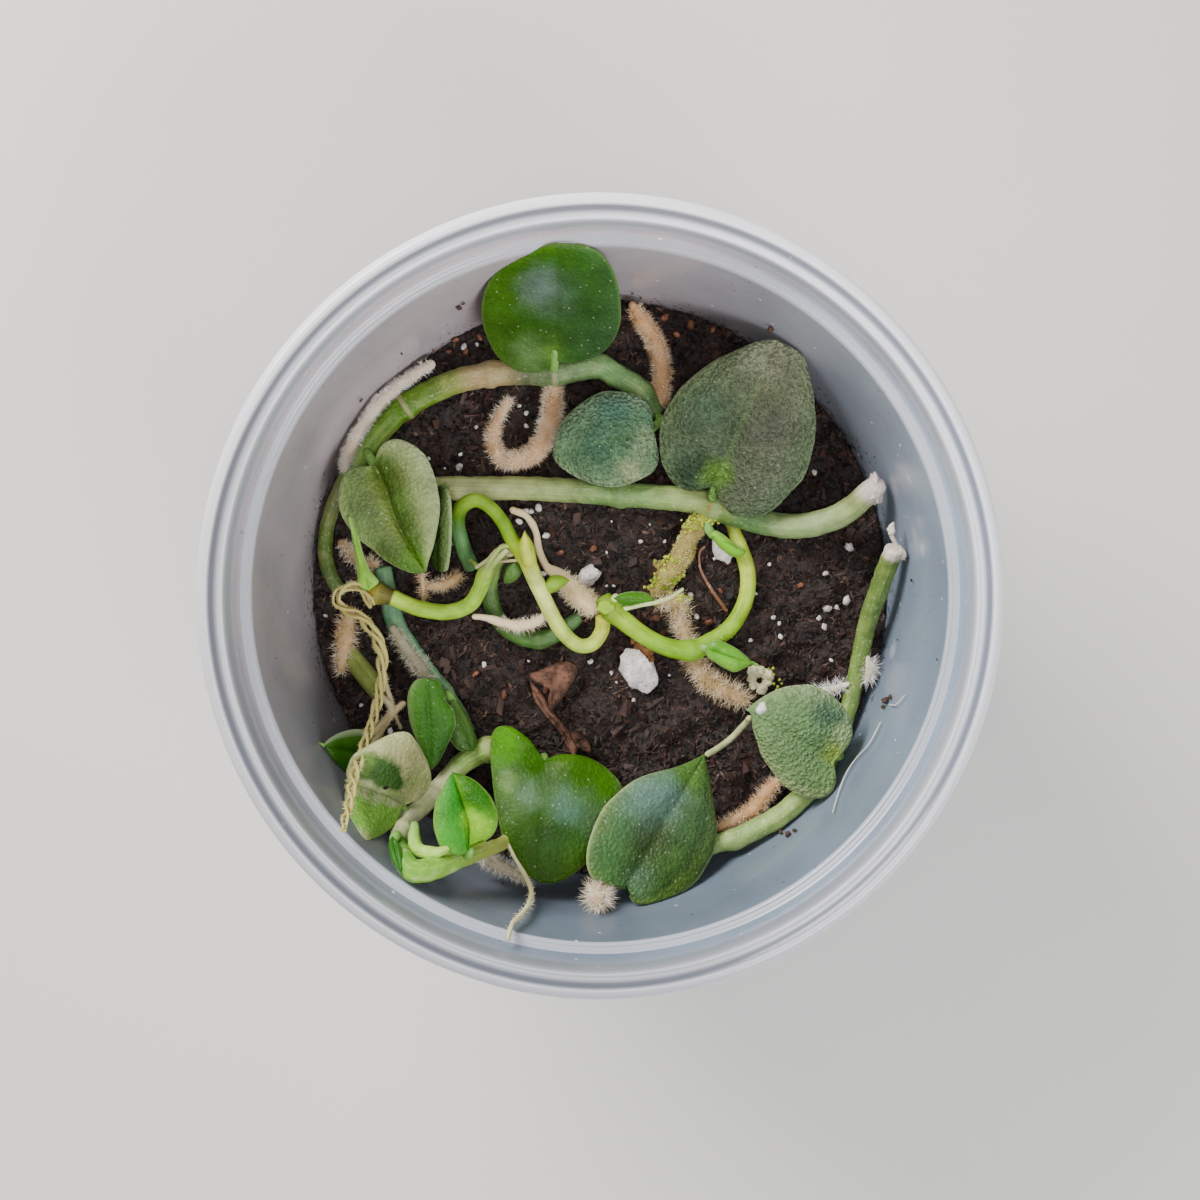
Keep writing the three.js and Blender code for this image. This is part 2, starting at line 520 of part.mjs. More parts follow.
// A closed blade with the same triangles on both faces, joined to its stalk
function leaf(blade, margin = 0) {
  const frame = bladeFrame(blade);
  const isLarge = frame.length > LARGE_LEAF;
  const rings = isLarge ? 3 : 2;
  const spokes = isLarge ? 22 : 16;
  const middle = 0.42 * frame.length;
  const places = [[middle, 0, 0]];
  for (let ring = 1; ring <= rings; ring++) {
    for (let k = 0; k < spokes; k++) {
      const turn = 2 * k / spokes;
      const isLeft = turn <= 1;
      const s = isLeft ? turn : 2 - turn;
      const edge = halfOutline(blade, frame.length, isLeft, s);
      const share = ring / rings;
      const grown = share * (1 + 1.5 * margin / Math.hypot(edge.along - middle, edge.across));
      const across = isLeft ? edge.across : -edge.across;
      places.push([THREE.MathUtils.lerp(middle, edge.along, grown), across * grown, share]);
    }
  }
  const top = [];
  const bottom = [];
  for (const [a, b, share] of places) {
    const thickness = THREE.MathUtils.lerp(BLADE_MIDDLE, BLADE_MARGIN, share) + 2 * margin;
    const point = bladePoint(blade, frame, a, b);
    const normal = bladeNormal(blade, frame, a, b);
    top.push(point.clone().addScaledVector(normal, thickness / 2).toArray());
    bottom.push(point.clone().addScaledVector(normal, -thickness / 2).toArray());
  }
  const faces = [];
  const offset = places.length;
  const at = (ring, k) => 1 + (ring - 1) * spokes + k % spokes;
  const both = (a, b, c) => faces.push([a, b, c], [offset + a, offset + c, offset + b]);
  for (let k = 0; k < spokes; k++) {
    both(0, at(1, k), at(1, k + 1));
    for (let ring = 1; ring < rings; ring++) {
      both(at(ring, k), at(ring + 1, k), at(ring + 1, k + 1));
      both(at(ring, k), at(ring + 1, k + 1), at(ring, k + 1));
    }
    const here = at(rings, k);
    const next = at(rings, k + 1);
    faces.push([here, offset + here, offset + next], [here, offset + next, next]);
  }
  let solid = toSolid(meshFrom([...top, ...bottom], faces));
  if (blade.stalk.length > 0) {
    const start = bladePoint(blade, frame, 0.08 * frame.length, 0).toArray();
    const route = [start, ...blade.stalk].map(([x, y, z]) => [x, y, z, STALK_RADIUS]);
    solid = solid.add(sweep(route, STALK_SIDES, STALK_PITCH, margin));
  }
  return solid;
}

// A rough grain: a faceted ball pushed in and out by a formula
function grain({ middle, half, turn }, detail, margin = 0) {
  const ball = new THREE.IcosahedronGeometry(1, detail);
  const position = ball.getAttribute('position');
  const point = new THREE.Vector3();
  for (let i = 0; i < position.count; i++) {
    point.fromBufferAttribute(position, i);
    const rough = 1 + 0.12 * Math.sin(7 * point.x + 3 * point.z) * Math.cos(6 * point.y - point.x);
    point.set(...half.map((size, axis) => (size + margin) * point.getComponent(axis) * rough));
    position.setXYZ(i, point.x, point.y, point.z);
  }
  ball.rotateZ(THREE.MathUtils.degToRad(turn));
  ball.translate(...middle);
  return toSolid(mergeVertices(bareCopy(ball), 1e-4));
}

function bareCopy(geometry) {
  const bare = new THREE.BufferGeometry();
  bare.setAttribute('position', geometry.getAttribute('position').clone());
  if (geometry.getIndex()) bare.setIndex(geometry.getIndex());
  return bare;
}

// The tub's section, from the middle of its foot up the outside, over the rim and down the inside
function tubProfile() {
  const inner = (z) => [wallRadius(z), z];
  const outer = (z) => [wallRadius(z) + WALL, z];
  return [
    [0, FLOOR_THICKNESS / 2], [FOOT_RADIUS - 7.6, FLOOR_THICKNESS / 2], [FOOT_RADIUS - 7, 0],
    [FOOT_RADIUS - 1.3, 0], outer(1.4), outer(LEDGE_HEIGHT - 1.8), [COLLAR_RADIUS + WALL, LEDGE_HEIGHT + 0.2],
    [COLLAR_RADIUS + 1.4, TUB_HEIGHT - 3.2], [RIM_RADIUS - 1.6, TUB_HEIGHT - 2.8],
    [RIM_RADIUS - 0.9, TUB_HEIGHT - 4.4], [RIM_RADIUS - 0.1, TUB_HEIGHT - 4.2], [RIM_RADIUS, TUB_HEIGHT - 1.4],
    [RIM_RADIUS - 0.5, TUB_HEIGHT - 0.4], [RIM_RADIUS - 1.6, TUB_HEIGHT], [COLLAR_RADIUS + 2, TUB_HEIGHT - 0.7],
    [COLLAR_RADIUS + 1.4, TUB_HEIGHT - 1.6], [COLLAR_RADIUS + 0.7, TUB_HEIGHT - 1.1],
    [COLLAR_RADIUS + 0.3, TUB_HEIGHT - 2.2], [COLLAR_RADIUS, LEDGE_HEIGHT + 1.2],
    [COLLAR_RADIUS - 0.5, LEDGE_HEIGHT + 0.4], [LEDGE_RADIUS + 0.4, LEDGE_HEIGHT], inner(LEDGE_HEIGHT - 0.6),
    inner(3.4), [wallRadius(3.4) - 2.6, FLOOR_THICKNESS], [0, FLOOR_THICKNESS],
  ];
}

function lathe(profile) {
  const points = profile.map(([radius, z]) => new THREE.Vector2(radius, z));
  const geometry = new THREE.LatheGeometry(points, TUB_SEGMENTS);
  geometry.rotateX(Math.PI / 2);
  return toSolid(mergeVertices(bareCopy(geometry), 1e-4));
}

// Everything planted stays inside this room, a gap clear of the wall
function roomInside() {
  const reach = TUB_HEIGHT + 5;
  return lathe([
    [0, 20], [wallRadius(20) - GAP, 20], [LEDGE_RADIUS - GAP, LEDGE_HEIGHT],
    [COLLAR_RADIUS - 0.6 - GAP, LEDGE_HEIGHT + 0.4 + GAP], [COLLAR_RADIUS - GAP - 0.1, LEDGE_HEIGHT + 1.6],
    [COLLAR_RADIUS - GAP, reach], [0, reach],
  ]);
}

// Height of the loose soil, before the plant presses its bed into it
function looseSoil(x, y) {
  const lumps = 0.5 * Math.sin(0.36 * x + 1.3) * Math.cos(0.31 * y - 0.4);
  return seat + lumps + 0.3 * Math.sin(0.9 * x + 0.7 * y) + 0.25 * Math.cos(1.1 * y - 0.5 * x);
}

// Points of the plant's underside that the soil gives way to: x, y, reach and lowest height
function pressedPlaces() {
  const places = [];
  for (const { route } of [...Object.values(vines), ...Object.values(roots)]) {
    const { curve, radiusAt } = follow(route);
    const steps = Math.ceil(curve.getLength());
    for (let i = 0; i <= steps; i++) {
      const point = curve.getPointAt(i / steps);
      const radius = radiusAt(i / steps);
      places.push([point.x, point.y, radius, point.z - radius]);
    }
  }
  for (const { middle, half } of Object.values(grains)) {
    places.push([middle[0], middle[1], Math.max(half[0], half[1]), middle[2] - half[2]]);
  }
  for (const blade of [blades.leaf_old, blades.bark_flake]) {
    const frame = bladeFrame(blade);
    for (let share = 0; share <= 1; share += 0.1) {
      const point = bladePoint(blade, frame, share * frame.length, 0);
      places.push([point.x, point.y, blade.left, point.z - BLADE_MIDDLE / 2]);
    }
  }
  return places;
}

// The soil: a filled round block with a lumpy top that keeps clear of what lies on it
function soilBlock(lift = 0) {
  const places = pressedPlaces();
  const radius = wallRadius(seat) - GAP - 0.15;
  const cell = 2 * radius / SOIL_CELLS;
  const bottom = FLOOR_THICKNESS + GAP;
  const points = [];
  const faces = [];
  const heightAt = (x, y) => {
    let height = looseSoil(x, y);
    for (const [px, py, reach, lowest] of places) {
      const isUnder = Math.hypot(x - px, y - py) < reach + cell;
      if (isUnder) height = Math.min(height, lowest - GAP - 0.1);
    }
    return height + lift;
  };
  for (let i = 0; i <= SOIL_CELLS; i++) {
    for (let j = 0; j <= SOIL_CELLS; j++) {
      const u = 2 * i / SOIL_CELLS - 1;
      const v = 2 * j / SOIL_CELLS - 1;
      const x = radius * u * Math.sqrt(1 - v * v / 2);
      const y = radius * v * Math.sqrt(1 - u * u / 2);
      points.push([x, y, heightAt(x, y)]);
    }
  }
  const at = (i, j) => i * (SOIL_CELLS + 1) + j;
  for (let i = 0; i < SOIL_CELLS; i++) {
    for (let j = 0; j < SOIL_CELLS; j++) {
      faces.push([at(i, j), at(i + 1, j), at(i + 1, j + 1)], [at(i, j), at(i + 1, j + 1), at(i, j + 1)]);
    }
  }
  const edge = [];
  for (let k = 0; k < SOIL_CELLS; k++) edge.push(at(k, 0));
  for (let k = 0; k < SOIL_CELLS; k++) edge.push(at(SOIL_CELLS, k));
  for (let k = 0; k < SOIL_CELLS; k++) edge.push(at(SOIL_CELLS - k, SOIL_CELLS));
  for (let k = 0; k < SOIL_CELLS; k++) edge.push(at(0, SOIL_CELLS - k));
  const footShare = (wallRadius(bottom) - 2.4 - GAP) / radius;
  const rings = [[(wallRadius(5) - GAP - 0.15) / radius, 5], [footShare, bottom]];
  let above = edge;
  for (const [share, z] of rings) {
    const ring = edge.map((index) => {
      points.push([points[index][0] * share, points[index][1] * share, z]);
      return points.length - 1;
    });
    ring.forEach((lower, k) => {
      const next = (k + 1) % ring.length;
      faces.push([above[k], lower, ring[next]], [above[k], ring[next], above[next]]);
    });
    above = ring;
  }
  points.push([0, 0, bottom]);
  above.forEach((index, k) => faces.push([points.length - 1, above[(k + 1) % above.length], index]));
  return { solid: toSolid(meshFrom(points, faces)), heightAt };
}

// Small grains pressed into the soil where the plant leaves it bare
function pressInGrains(soil) {
  const draw = seededDraw(SEED);
  const places = pressedPlaces();
  let { solid } = soil;
  let placed = 0;
  while (placed < SMALL_GRAINS) {
    const angle = 2 * Math.PI * draw();
    const distance = (wallRadius(seat) - 3) * Math.sqrt(draw());
    const size = THREE.MathUtils.lerp(...SMALL_GRAIN_SIZES, draw());
    const x = distance * Math.cos(angle);
    const y = distance * Math.sin(angle);
    const isBare = places.every(([px, py, reach]) => Math.hypot(x - px, y - py) > reach + size + 1);
    if (isBare) {
      const middle = [x, y, soil.heightAt(x, y) + 0.25 * size];
      solid = solid.add(grain({ middle, half: [size, 0.85 * size, 0.75 * size], turn: 90 * draw() }, 0));
      placed += 1;
    }
  }
  return largestBody(solid);
}

// Whole pieces in the order in which they make room for one another
function allPieces() {
  const soil = soilBlock();
  const pieces = [
    {
      name: 'soil', color: BARK_SOIL, roughness: 0.95,
      solid: pressInGrains(soil), keepOut: soilBlock(GAP).solid,
    },
  ];
  const add = (name, color, roughness, shape) => {
    pieces.push({ name, color, roughness, solid: shape(0), keepOut: shape(GAP) });
  };
  for (const [name, { route, color }] of Object.entries(vines)) {
    add(name, color, 0.5, (margin) => sweep(route, VINE_SIDES, VINE_PITCH, margin));
  }
  for (const [name, blade] of Object.entries(blades)) {
    add(name, blade.color, 0.4, (margin) => leaf(blade, margin));
  }
  for (const [name, { route, color = FURRY_ROOT }] of Object.entries(roots)) {
    add(name, color, 0.9, (margin) => sweep(route, ROOT_SIDES, ROOT_PITCH, margin));
  }
  for (const [name, shape] of Object.entries(grains)) {
    add(name, PERLITE, 0.9, (margin) => grain(shape, 1, margin));
  }
  return pieces;
}

function largestBody(solid) {
  return solid.decompose().sort((one, other) => other.volume() - one.volume())[0];
}

// Cut a piece clear of those before it and keep its one whole body
function fitted(piece, earlier, room) {
  let solid = piece.solid;
  const outside = solid.subtract(room);
  if (!outside.isEmpty()) solid = solid.intersect(room);
  for (const { keepOut } of earlier) {
    if (!solid.intersect(keepOut).isEmpty()) solid = solid.subtract(keepOut);
  }
  return largestBody(solid);
}

function named(name, solid, color, roughness) {
  const material = new THREE.MeshStandardMaterial({ color, roughness, metalness: 0 });
  const mesh = new THREE.Mesh(toGeometry(solid), material);
  mesh.name = name;
  return mesh;
}

const plant = new THREE.Group();
plant.add(named('tub', lathe(tubProfile()), MILKY_PLASTIC, 0.35));
const room = roomInside();
const done = [];
for (const piece of allPieces()) {
  const solid = piece.name === 'soil' ? piece.solid : fitted(piece, done, room);
  plant.add(named(piece.name, solid, piece.color, piece.roughness));
  done.push(piece);
}

export default plant;
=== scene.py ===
# %% [markdown]
# # A potted Rhaphidophora hayi
# This lesson dresses a young creeping aroid, an aroid house plant with thick pebbled leaves and furry
# aerial roots, which lies on dark bark soil in a round milky food tub.
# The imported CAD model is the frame: it gives the size, the place of every piece and the collision.
# Each cell makes one piece or one finish and prints what it made.

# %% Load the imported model
import math
import bpy
import bmesh
import numpy as np
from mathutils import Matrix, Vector, noise


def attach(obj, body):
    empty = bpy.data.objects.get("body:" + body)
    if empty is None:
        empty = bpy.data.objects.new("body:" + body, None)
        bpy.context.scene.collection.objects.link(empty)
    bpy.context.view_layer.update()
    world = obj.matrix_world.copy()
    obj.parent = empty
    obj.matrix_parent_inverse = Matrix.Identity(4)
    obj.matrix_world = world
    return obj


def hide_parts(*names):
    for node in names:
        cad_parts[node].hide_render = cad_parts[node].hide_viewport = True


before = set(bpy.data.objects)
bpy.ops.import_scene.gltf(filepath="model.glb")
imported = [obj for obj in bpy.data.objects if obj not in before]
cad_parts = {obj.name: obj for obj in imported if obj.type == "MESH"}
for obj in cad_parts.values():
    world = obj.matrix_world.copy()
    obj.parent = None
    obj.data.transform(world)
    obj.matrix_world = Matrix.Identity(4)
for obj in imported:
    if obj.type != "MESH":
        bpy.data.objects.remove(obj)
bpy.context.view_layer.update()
print("nodes in the frame:", len(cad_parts))

# %% [markdown]
# ## Reading a place off the photograph
# The photograph looks almost straight down. Something at a known height is seen at a scale that depends
# only on how far below the camera it lies, so a pixel and a height give a place. All sizes are in
# millimetres until a mesh is made.

# %% From a pixel and a height to millimetres
MM = 0.001
IMAGE_MIDDLE = (599.4, 599.7)
PIXELS_PER_MM = 6.96
RIM_HEIGHT = 75
CAMERA_HEIGHT = 375
CAMERA_NORTH = 14


def spot(u, v, height):
    """The place, in mm, of what is seen at pixel u, v of the 1200-pixel photograph at that height."""
    stretch = (CAMERA_HEIGHT - height) / (CAMERA_HEIGHT - RIM_HEIGHT)
    east = (u - IMAGE_MIDDLE[0]) / PIXELS_PER_MM * stretch
    north = CAMERA_NORTH + ((IMAGE_MIDDLE[1] - v) / PIXELS_PER_MM - CAMERA_NORTH) * stretch
    return np.array([east, north, height])


print("the photograph's middle on the soil:", spot(600, 600, 34).round(1))

# %% [markdown]
# ## Colours, nodes and noise
# Colours are written as people read them off a screen, in sRGB hex, and turned to linear numbers once.
# One small function adds any node with its settings and links, in a material or in a geometry tree.

# %% Small helpers
def linear(code):
    """A linear colour from an sRGB hex number."""
    parts = [((code >> shift) & 255) / 255 for shift in (16, 8, 0)]
    return [p / 12.92 if p <= 0.04045 else ((p + 0.055) / 1.055) ** 2.4 for p in parts] + [1.0]


def add(tree, kind, links=(), stops=None, **settings):
    """Adds a node and gives its first output. links are values or other outputs, in order or by name."""
    made = tree.nodes.new(kind)
    for key, value in settings.items():
        setattr(made, key, value)
    for key, value in links.items() if isinstance(links, dict) else enumerate(links):
        if isinstance(key, int):
            socket = made.inputs[key]
        else:
            socket = next(s for s in made.inputs if s.name == key and s.enabled)
        if isinstance(value, bpy.types.NodeSocket):
            tree.links.new(value, socket)
        else:
            socket.default_value = value
    if stops:
        ramp = made.color_ramp
        while len(ramp.elements) < len(stops):
            ramp.elements.new(0.5)
        for element, (place, code) in zip(ramp.elements, stops):
            element.position = place
            element.color = linear(code)
    return next((s for s in made.outputs if s.enabled), made)


def lumps(places, size, octaves=2, seed=0):
    """Soft random heights from about -1 to 1 at places in mm, with lumps of that size in mm."""
    shift = Vector((7.3 * seed, 3.1 * seed, 5.7 * seed))
    return np.array([noise.fractal(Vector(p) / size + shift, 1.0, 2.0, octaves) for p in places])


def unit(vectors):
    return vectors / np.maximum(np.linalg.norm(vectors, axis=-1, keepdims=True), 1e-9)


def start_finish(name):
    """A new material with its tree, its Principled shader and the piece's own coordinates."""
    finish = bpy.data.materials.new(name)
    finish.use_nodes = True
    tree = finish.node_tree
    place = add(tree, "ShaderNodeTexCoord").node.outputs["Object"]
    return finish, tree, tree.nodes["Principled BSDF"], place


# %% [markdown]
# ## From points to a piece
# Every piece is a closed mesh whose place is in its points. The points that fall together are merged,
# and the faces are then turned outwards. The pieces are kept in a list, so that one of the last cells can
# press them inside the tub and leave the CAD model alone.

# %% Make a piece
MERGE_DISTANCE = 0.004


def sewn_mesh(name, places, faces, growth=None):
    """A closed mesh from places in mm, with its growth numbers kept on its points."""
    mesh = bpy.data.meshes.new(name)
    mesh.from_pydata((np.asarray(places, float) * MM).tolist(), [], faces)
    if growth is not None:
        attribute = mesh.attributes.new("growth", 'FLOAT_VECTOR', 'POINT')
        attribute.data.foreach_set("vector", np.asarray(growth, np.float32).ravel())
    work = bmesh.new()
    work.from_mesh(mesh)
    bmesh.ops.remove_doubles(work, verts=work.verts, dist=MERGE_DISTANCE * MM)
    bmesh.ops.dissolve_degenerate(work, edges=work.edges, dist=MERGE_DISTANCE * MM / 4)
    bmesh.ops.recalc_face_normals(work, faces=work.faces)
    work.to_mesh(mesh)
    work.free()
    mesh.shade_smooth()
    return mesh


made_pieces = []


def settle(name, shape, finish, nodes):
    """Puts a piece into the scene and hides the CAD nodes that it stands for.

    Its shape is a mesh, or places, faces and growth numbers to sew into one."""
    mesh = shape if isinstance(shape, bpy.types.Mesh) else sewn_mesh(name, *shape)
    piece = bpy.data.objects.new(name, mesh)
    bpy.context.scene.collection.objects.link(piece)
    if finish:
        mesh.materials.clear()
        mesh.materials.append(finish)
    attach(piece, "root")
    if nodes:
        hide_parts(*nodes)
    made_pieces.append(piece)
    return piece


def joined(parts):
    """One list of places, faces and growth numbers from several (places, faces, growth) parts."""
    places, faces, growth, offset = [], [], [], 0
    for part_places, part_faces, part_growth in parts:
        places.append(part_places)
        growth.append(part_growth)
        faces += [[index + offset for index in face] for face in part_faces]
        offset += len(part_places)
    return np.vstack(places), faces, np.vstack(growth)


# %% [markdown]
# ## Stems and strands
# A stem is a ring of points carried along a smooth route without twisting. Its thickness swells at the
# nodes where leaves and roots come out, and its ends are domed, or blunt where it was cut.

# %% Carry a ring along a route
CURVE_STEPS = 12
RING_SCAR = 0.7  # mm along the stem that a node's scar takes up
NODE_SWELLING = 1.1  # mm along the stem that its swelling takes up
DOMED_END = (1, 0.9, 0.6, 0.3)
SKIN_LUMPS = 1.6


def through(points, pitch):
    """Even steps of about that pitch along a smooth curve, and how far along each given point lies."""
    points = np.asarray(points, float)
    padded = np.vstack([2 * points[0] - points[1], points, 2 * points[-1] - points[-2]])
    t = np.linspace(0, 1, CURVE_STEPS, endpoint=False)[:, None]
    dense = [0.5 * (2 * b + (c - a) * t + (2 * a - 5 * b + 4 * c - d) * t ** 2
                    + (3 * b - a - 3 * c + d) * t ** 3)
             for a, b, c, d in zip(padded, padded[1:], padded[2:], padded[3:])]
    dense = np.vstack(dense + [points[-1:]])
    walked = np.r_[0, np.cumsum(np.linalg.norm(np.diff(dense[:, :3], axis=0), axis=1))]
    even = np.linspace(0, walked[-1], max(3, round(walked[-1] / pitch)) + 1)
    return np.column_stack([np.interp(even, walked, column) for column in dense.T]), walked[::CURVE_STEPS]


def directions(centres):
    """Along, across and above at each point of a line, carried along it without twisting."""
    tangents = unit(np.gradient(centres, axis=0))
    across = np.zeros_like(centres)
    across[0] = unit(np.cross(tangents[0], (0.1, 0, 1)))
    for i in range(1, len(centres)):
        across[i] = unit(across[i - 1] - tangents[i] * np.dot(across[i - 1], tangents[i]))
    return tangents, across, np.cross(across, tangents)


FLUTES = 7


def stem(route, sides=16, pitch=0.6, joints=(), swell=0.2, roughness=0.02, fluting=0.0, ends=(1.0, 1.0),
         seed=0):
    """Places, faces and growth numbers of a closed stem along x, y, z, radius points.

    joints are the route's points, by number, that are swollen nodes. Growth is the turn round the stem
    from 0 to 1, the share of the way along it and how near a node is."""
    line, knots = through(route, pitch)
    centres, radii = line[:, :3], line[:, 3].copy()
    distance = np.linspace(0, knots[-1], len(line))
    near = np.zeros(len(line))
    for joint in joints:
        near = np.maximum(near, np.exp(-((distance - knots[joint]) / RING_SCAR) ** 2))
        radii *= 1 + swell * np.exp(-((distance - knots[joint]) / NODE_SWELLING) ** 2)
    tangents, across, above = directions(centres)
    last = len(centres) - 1
    rows = [(centres[0] - tangents[0] * radii[0] * ends[0] * c, radii[0] * math.sqrt(1 - c * c), 0)
            for c in DOMED_END]
    rows += [(centres[i], radii[i], i) for i in range(len(centres))]
    rows += [(centres[last] + tangents[last] * radii[last] * ends[1] * c,
              radii[last] * math.sqrt(1 - c * c), last) for c in reversed(DOMED_END)]
    turns = np.arange(sides) / sides
    places, growth = [], []
    for centre, radius, i in rows:
        spokes = (np.outer(np.cos(2 * np.pi * turns), across[i])
                  + np.outer(np.sin(2 * np.pi * turns), above[i]))
        ridges = 1 + fluting * np.cos(2 * np.pi * FLUTES * turns + 0.15 * distance[i])
        places.append(centre + spokes * radius * ridges[:, None])
        growth.append(np.column_stack([turns, np.full(sides, distance[i] / knots[-1]),
                                       np.full(sides, near[i])]))
    places, growth = np.vstack(places), np.vstack(growth)
    if roughness:
        middle = np.repeat([row[0] for row in rows], sides, axis=0)
        radius = np.repeat([row[1] for row in rows], sides)[:, None]
        lumpy = roughness * lumps(places, SKIN_LUMPS, 3, seed)[:, None]
        places = places + unit(places - middle) * radius * lumpy
    faces = []
    for i in range(len(rows) - 1):
        for k in range(sides):
            after = (k + 1) % sides
            faces.append([i * sides + k, i * sides + after, (i + 1) * sides + after, (i + 1) * sides + k])
    return places, faces, growth


def twisted(route, strands, spread, thinness, twist):
    """Several strands laid round one route, turning once in each twist, in mm."""
    line, knots = through(route, 0.6)
    _, across, above = directions(line[:, :3])
    distance = np.linspace(0, knots[-1], len(line))
    parts = []
    for number in range(strands):
        turn = 2 * np.pi * (number / strands + distance / twist)
        wander = spread * (1 + 0.5 * np.sin(0.7 * distance + 2 * number))
        aside = np.cos(turn)[:, None] * across + np.sin(turn)[:, None] * above
        places = line[:, :3] + aside * (wander * line[:, 3])[:, None]
        own = np.column_stack([places, thinness * line[:, 3] * (1 + 0.2 * np.sin(1.3 * distance + number))])
        parts.append(stem(own[::2], sides=9, pitch=0.5, roughness=0.2, seed=number))
    return joined(parts)


# %% [markdown]
# ## Leaf blades
# A blade is given by its outline, read off the photograph from the apex to the notch on both sides, and
# by the heights of its apex and notch. Rows run from the midrib to the margin. The blade is 1 mm thick,
# as the thick leaves of this species are, and thins to a rounded margin.

# %% Loft a blade
BLADE_HALF = 0.5
MARGIN_HALF = 0.34
MARGIN_START = 0.92


def edge_points(apex, side, notch, heights, rise, count):
    """Even places in mm along one side of a leaf, and how far each lies along the midrib."""
    line, _ = through([(u, v, 0) for u, v in [apex, *side, notch]], 1.0)
    steps = np.linspace(0, len(line) - 1, count)
    uv = np.column_stack([np.interp(steps, np.arange(len(line)), line[:, k]) for k in (0, 1)])
    rib = np.array(apex, float) - np.array(notch, float)
    along = (uv - notch) @ rib / (rib @ rib)
    across = np.abs((uv - notch) @ np.array([-rib[1], rib[0]])) / np.linalg.norm(rib)
    height = heights[1] + (heights[0] - heights[1]) * along + rise * across / across.max()
    return np.array([spot(u, v, h) for (u, v), h in zip(uv, height)]), 1 - along


def blade(apex, notch, left, right, heights, rises=(0, 0), arch=1.0, puff=0.3, crease=0.3, wave=0.15,
          pebble=0.03, rows=84, columns=26, seed=0, curl=0.3, rib=()):
    """Places, faces and growth numbers of a closed blade.

    Growth is the share across from -1 to 1, the share along from apex to notch, and 0 (1 on a stalk)."""
    sides = [edge_points(apex, side, notch, heights, rise, rows + 1)
             for side, rise in zip((left, right), rises)]
    share = np.clip((sides[0][1] + sides[1][1]) / 2, 0, 1)
    share = 0.97 * np.maximum.accumulate(share) + 0.03 * np.linspace(0, 1, rows + 1)
    share[0], share[-1] = 0, 1
    ribs, _ = through([(u, v, 0) for u, v in [apex, *rib, notch]], 0.5)
    steps = np.linspace(0, 1, len(ribs))
    ribs = np.column_stack([np.interp(share, steps, ribs[:, k]) for k in (0, 1)])
    rib_height = heights[0] + (heights[1] - heights[0]) * share
    middle = np.array([spot(u, v, h) for (u, v), h in zip(ribs, rib_height)])
    out = np.sin(np.pi / 2 * np.linspace(0, 1, columns + 1))
    spread = np.r_[-out[::-1], out[1:]]
    size = np.abs(spread)
    surface = np.empty((rows + 1, len(spread), 3))
    for j, across in enumerate(spread):
        surface[:, j] = middle + (sides[0 if across < 0 else 1][0] - middle) * abs(across)
    swell = np.sin(np.pi * np.linspace(0, 1, rows + 1)) ** 0.6
    lift = (arch * 4 * np.outer(share * (1 - share), 1 - size ** 2)
            + np.outer(swell, puff * 4 * size * (1 - size) - crease * np.exp(-(size / 0.09) ** 2)
                       - curl * size ** 6))
    flat = surface.reshape(-1, 3)
    lift += (wave * lumps(flat, 5, 2, seed) + pebble * lumps(flat, 0.9, 2, seed + 3)).reshape(lift.shape)
    facing = unit(np.cross(np.gradient(surface, axis=0), np.gradient(surface, axis=1)))
    if facing[rows // 2, :, 2].mean() < 0:
        facing = -facing
    facing[0], facing[-1] = facing[1], facing[-2]
    surface = surface + facing * lift[..., None]
    thick = BLADE_HALF + (MARGIN_HALF - BLADE_HALF) * size
    rounding = np.clip(size - MARGIN_START, 0, 1) / (1 - MARGIN_START)
    thick = thick * np.sqrt(np.clip(1 - rounding ** 2, 0, 1))
    top, bottom = surface + facing * thick[:, None], surface - facing * thick[:, None]
    width = len(spread)
    offset = (rows + 1) * width
    faces = []
    for i in range(rows):
        for j in range(width - 1):
            a, b, c, d = i * width + j, i * width + j + 1, (i + 1) * width + j + 1, (i + 1) * width + j
            faces.append([a, b, c, d])
            faces.append([offset + d, offset + c, offset + b, offset + a])
    growth = np.column_stack([np.tile(spread, rows + 1), np.repeat(np.linspace(0, 1, rows + 1), width),
                              np.zeros(offset)])
    places = np.vstack([top.reshape(-1, 3), bottom.reshape(-1, 3)])
    return places, faces, np.vstack([growth, growth])


STALK_RADIUS = 0.75


def stalk(points):
    """A leaf's short stalk, whose growth numbers mark it as a stalk."""
    places, faces, growth = stem([(*p, STALK_RADIUS) for p in points], sides=12, roughness=0.04)
    growth[:, 0] = 0
    growth[:, 2] = 1
    return places, faces, growth


# %% [markdown]
# ## Leaf skin
# A leaf's skin is a waxy cuticle over green tissue: a smooth, slightly milky gloss. Its colour changes
# across the blade and along it, with a pale margin, a lighter midrib and small pale specks. The surface is
# pebbled, with low domes about 0.7 mm apart that are painted lighter on top, with painted shade between
# them. Soft patches with wandering edges, each placed where the photograph shows it, are the leaf's own
# tints and also painted light: painted bluish highlights and reflections on the glossy leaves, and painted
# shade in a hollow of the blade.

# %% Leaf skin
PEBBLES_PER_METRE = 1500.0  # one in 0.7 mm
PEBBLE_RELIEF = 0.001
SPECKS_PER_METRE = 1100.0  # room for one in 0.9 mm
SPECK_TONE = 0xc9d6b8
CLOUDS_PER_METRE = 260.0  # clouds 4 mm wide
WANDER = 0.004  # how far, in metres, a patch's edge is moved
WANDERS_PER_METRE = 240.0


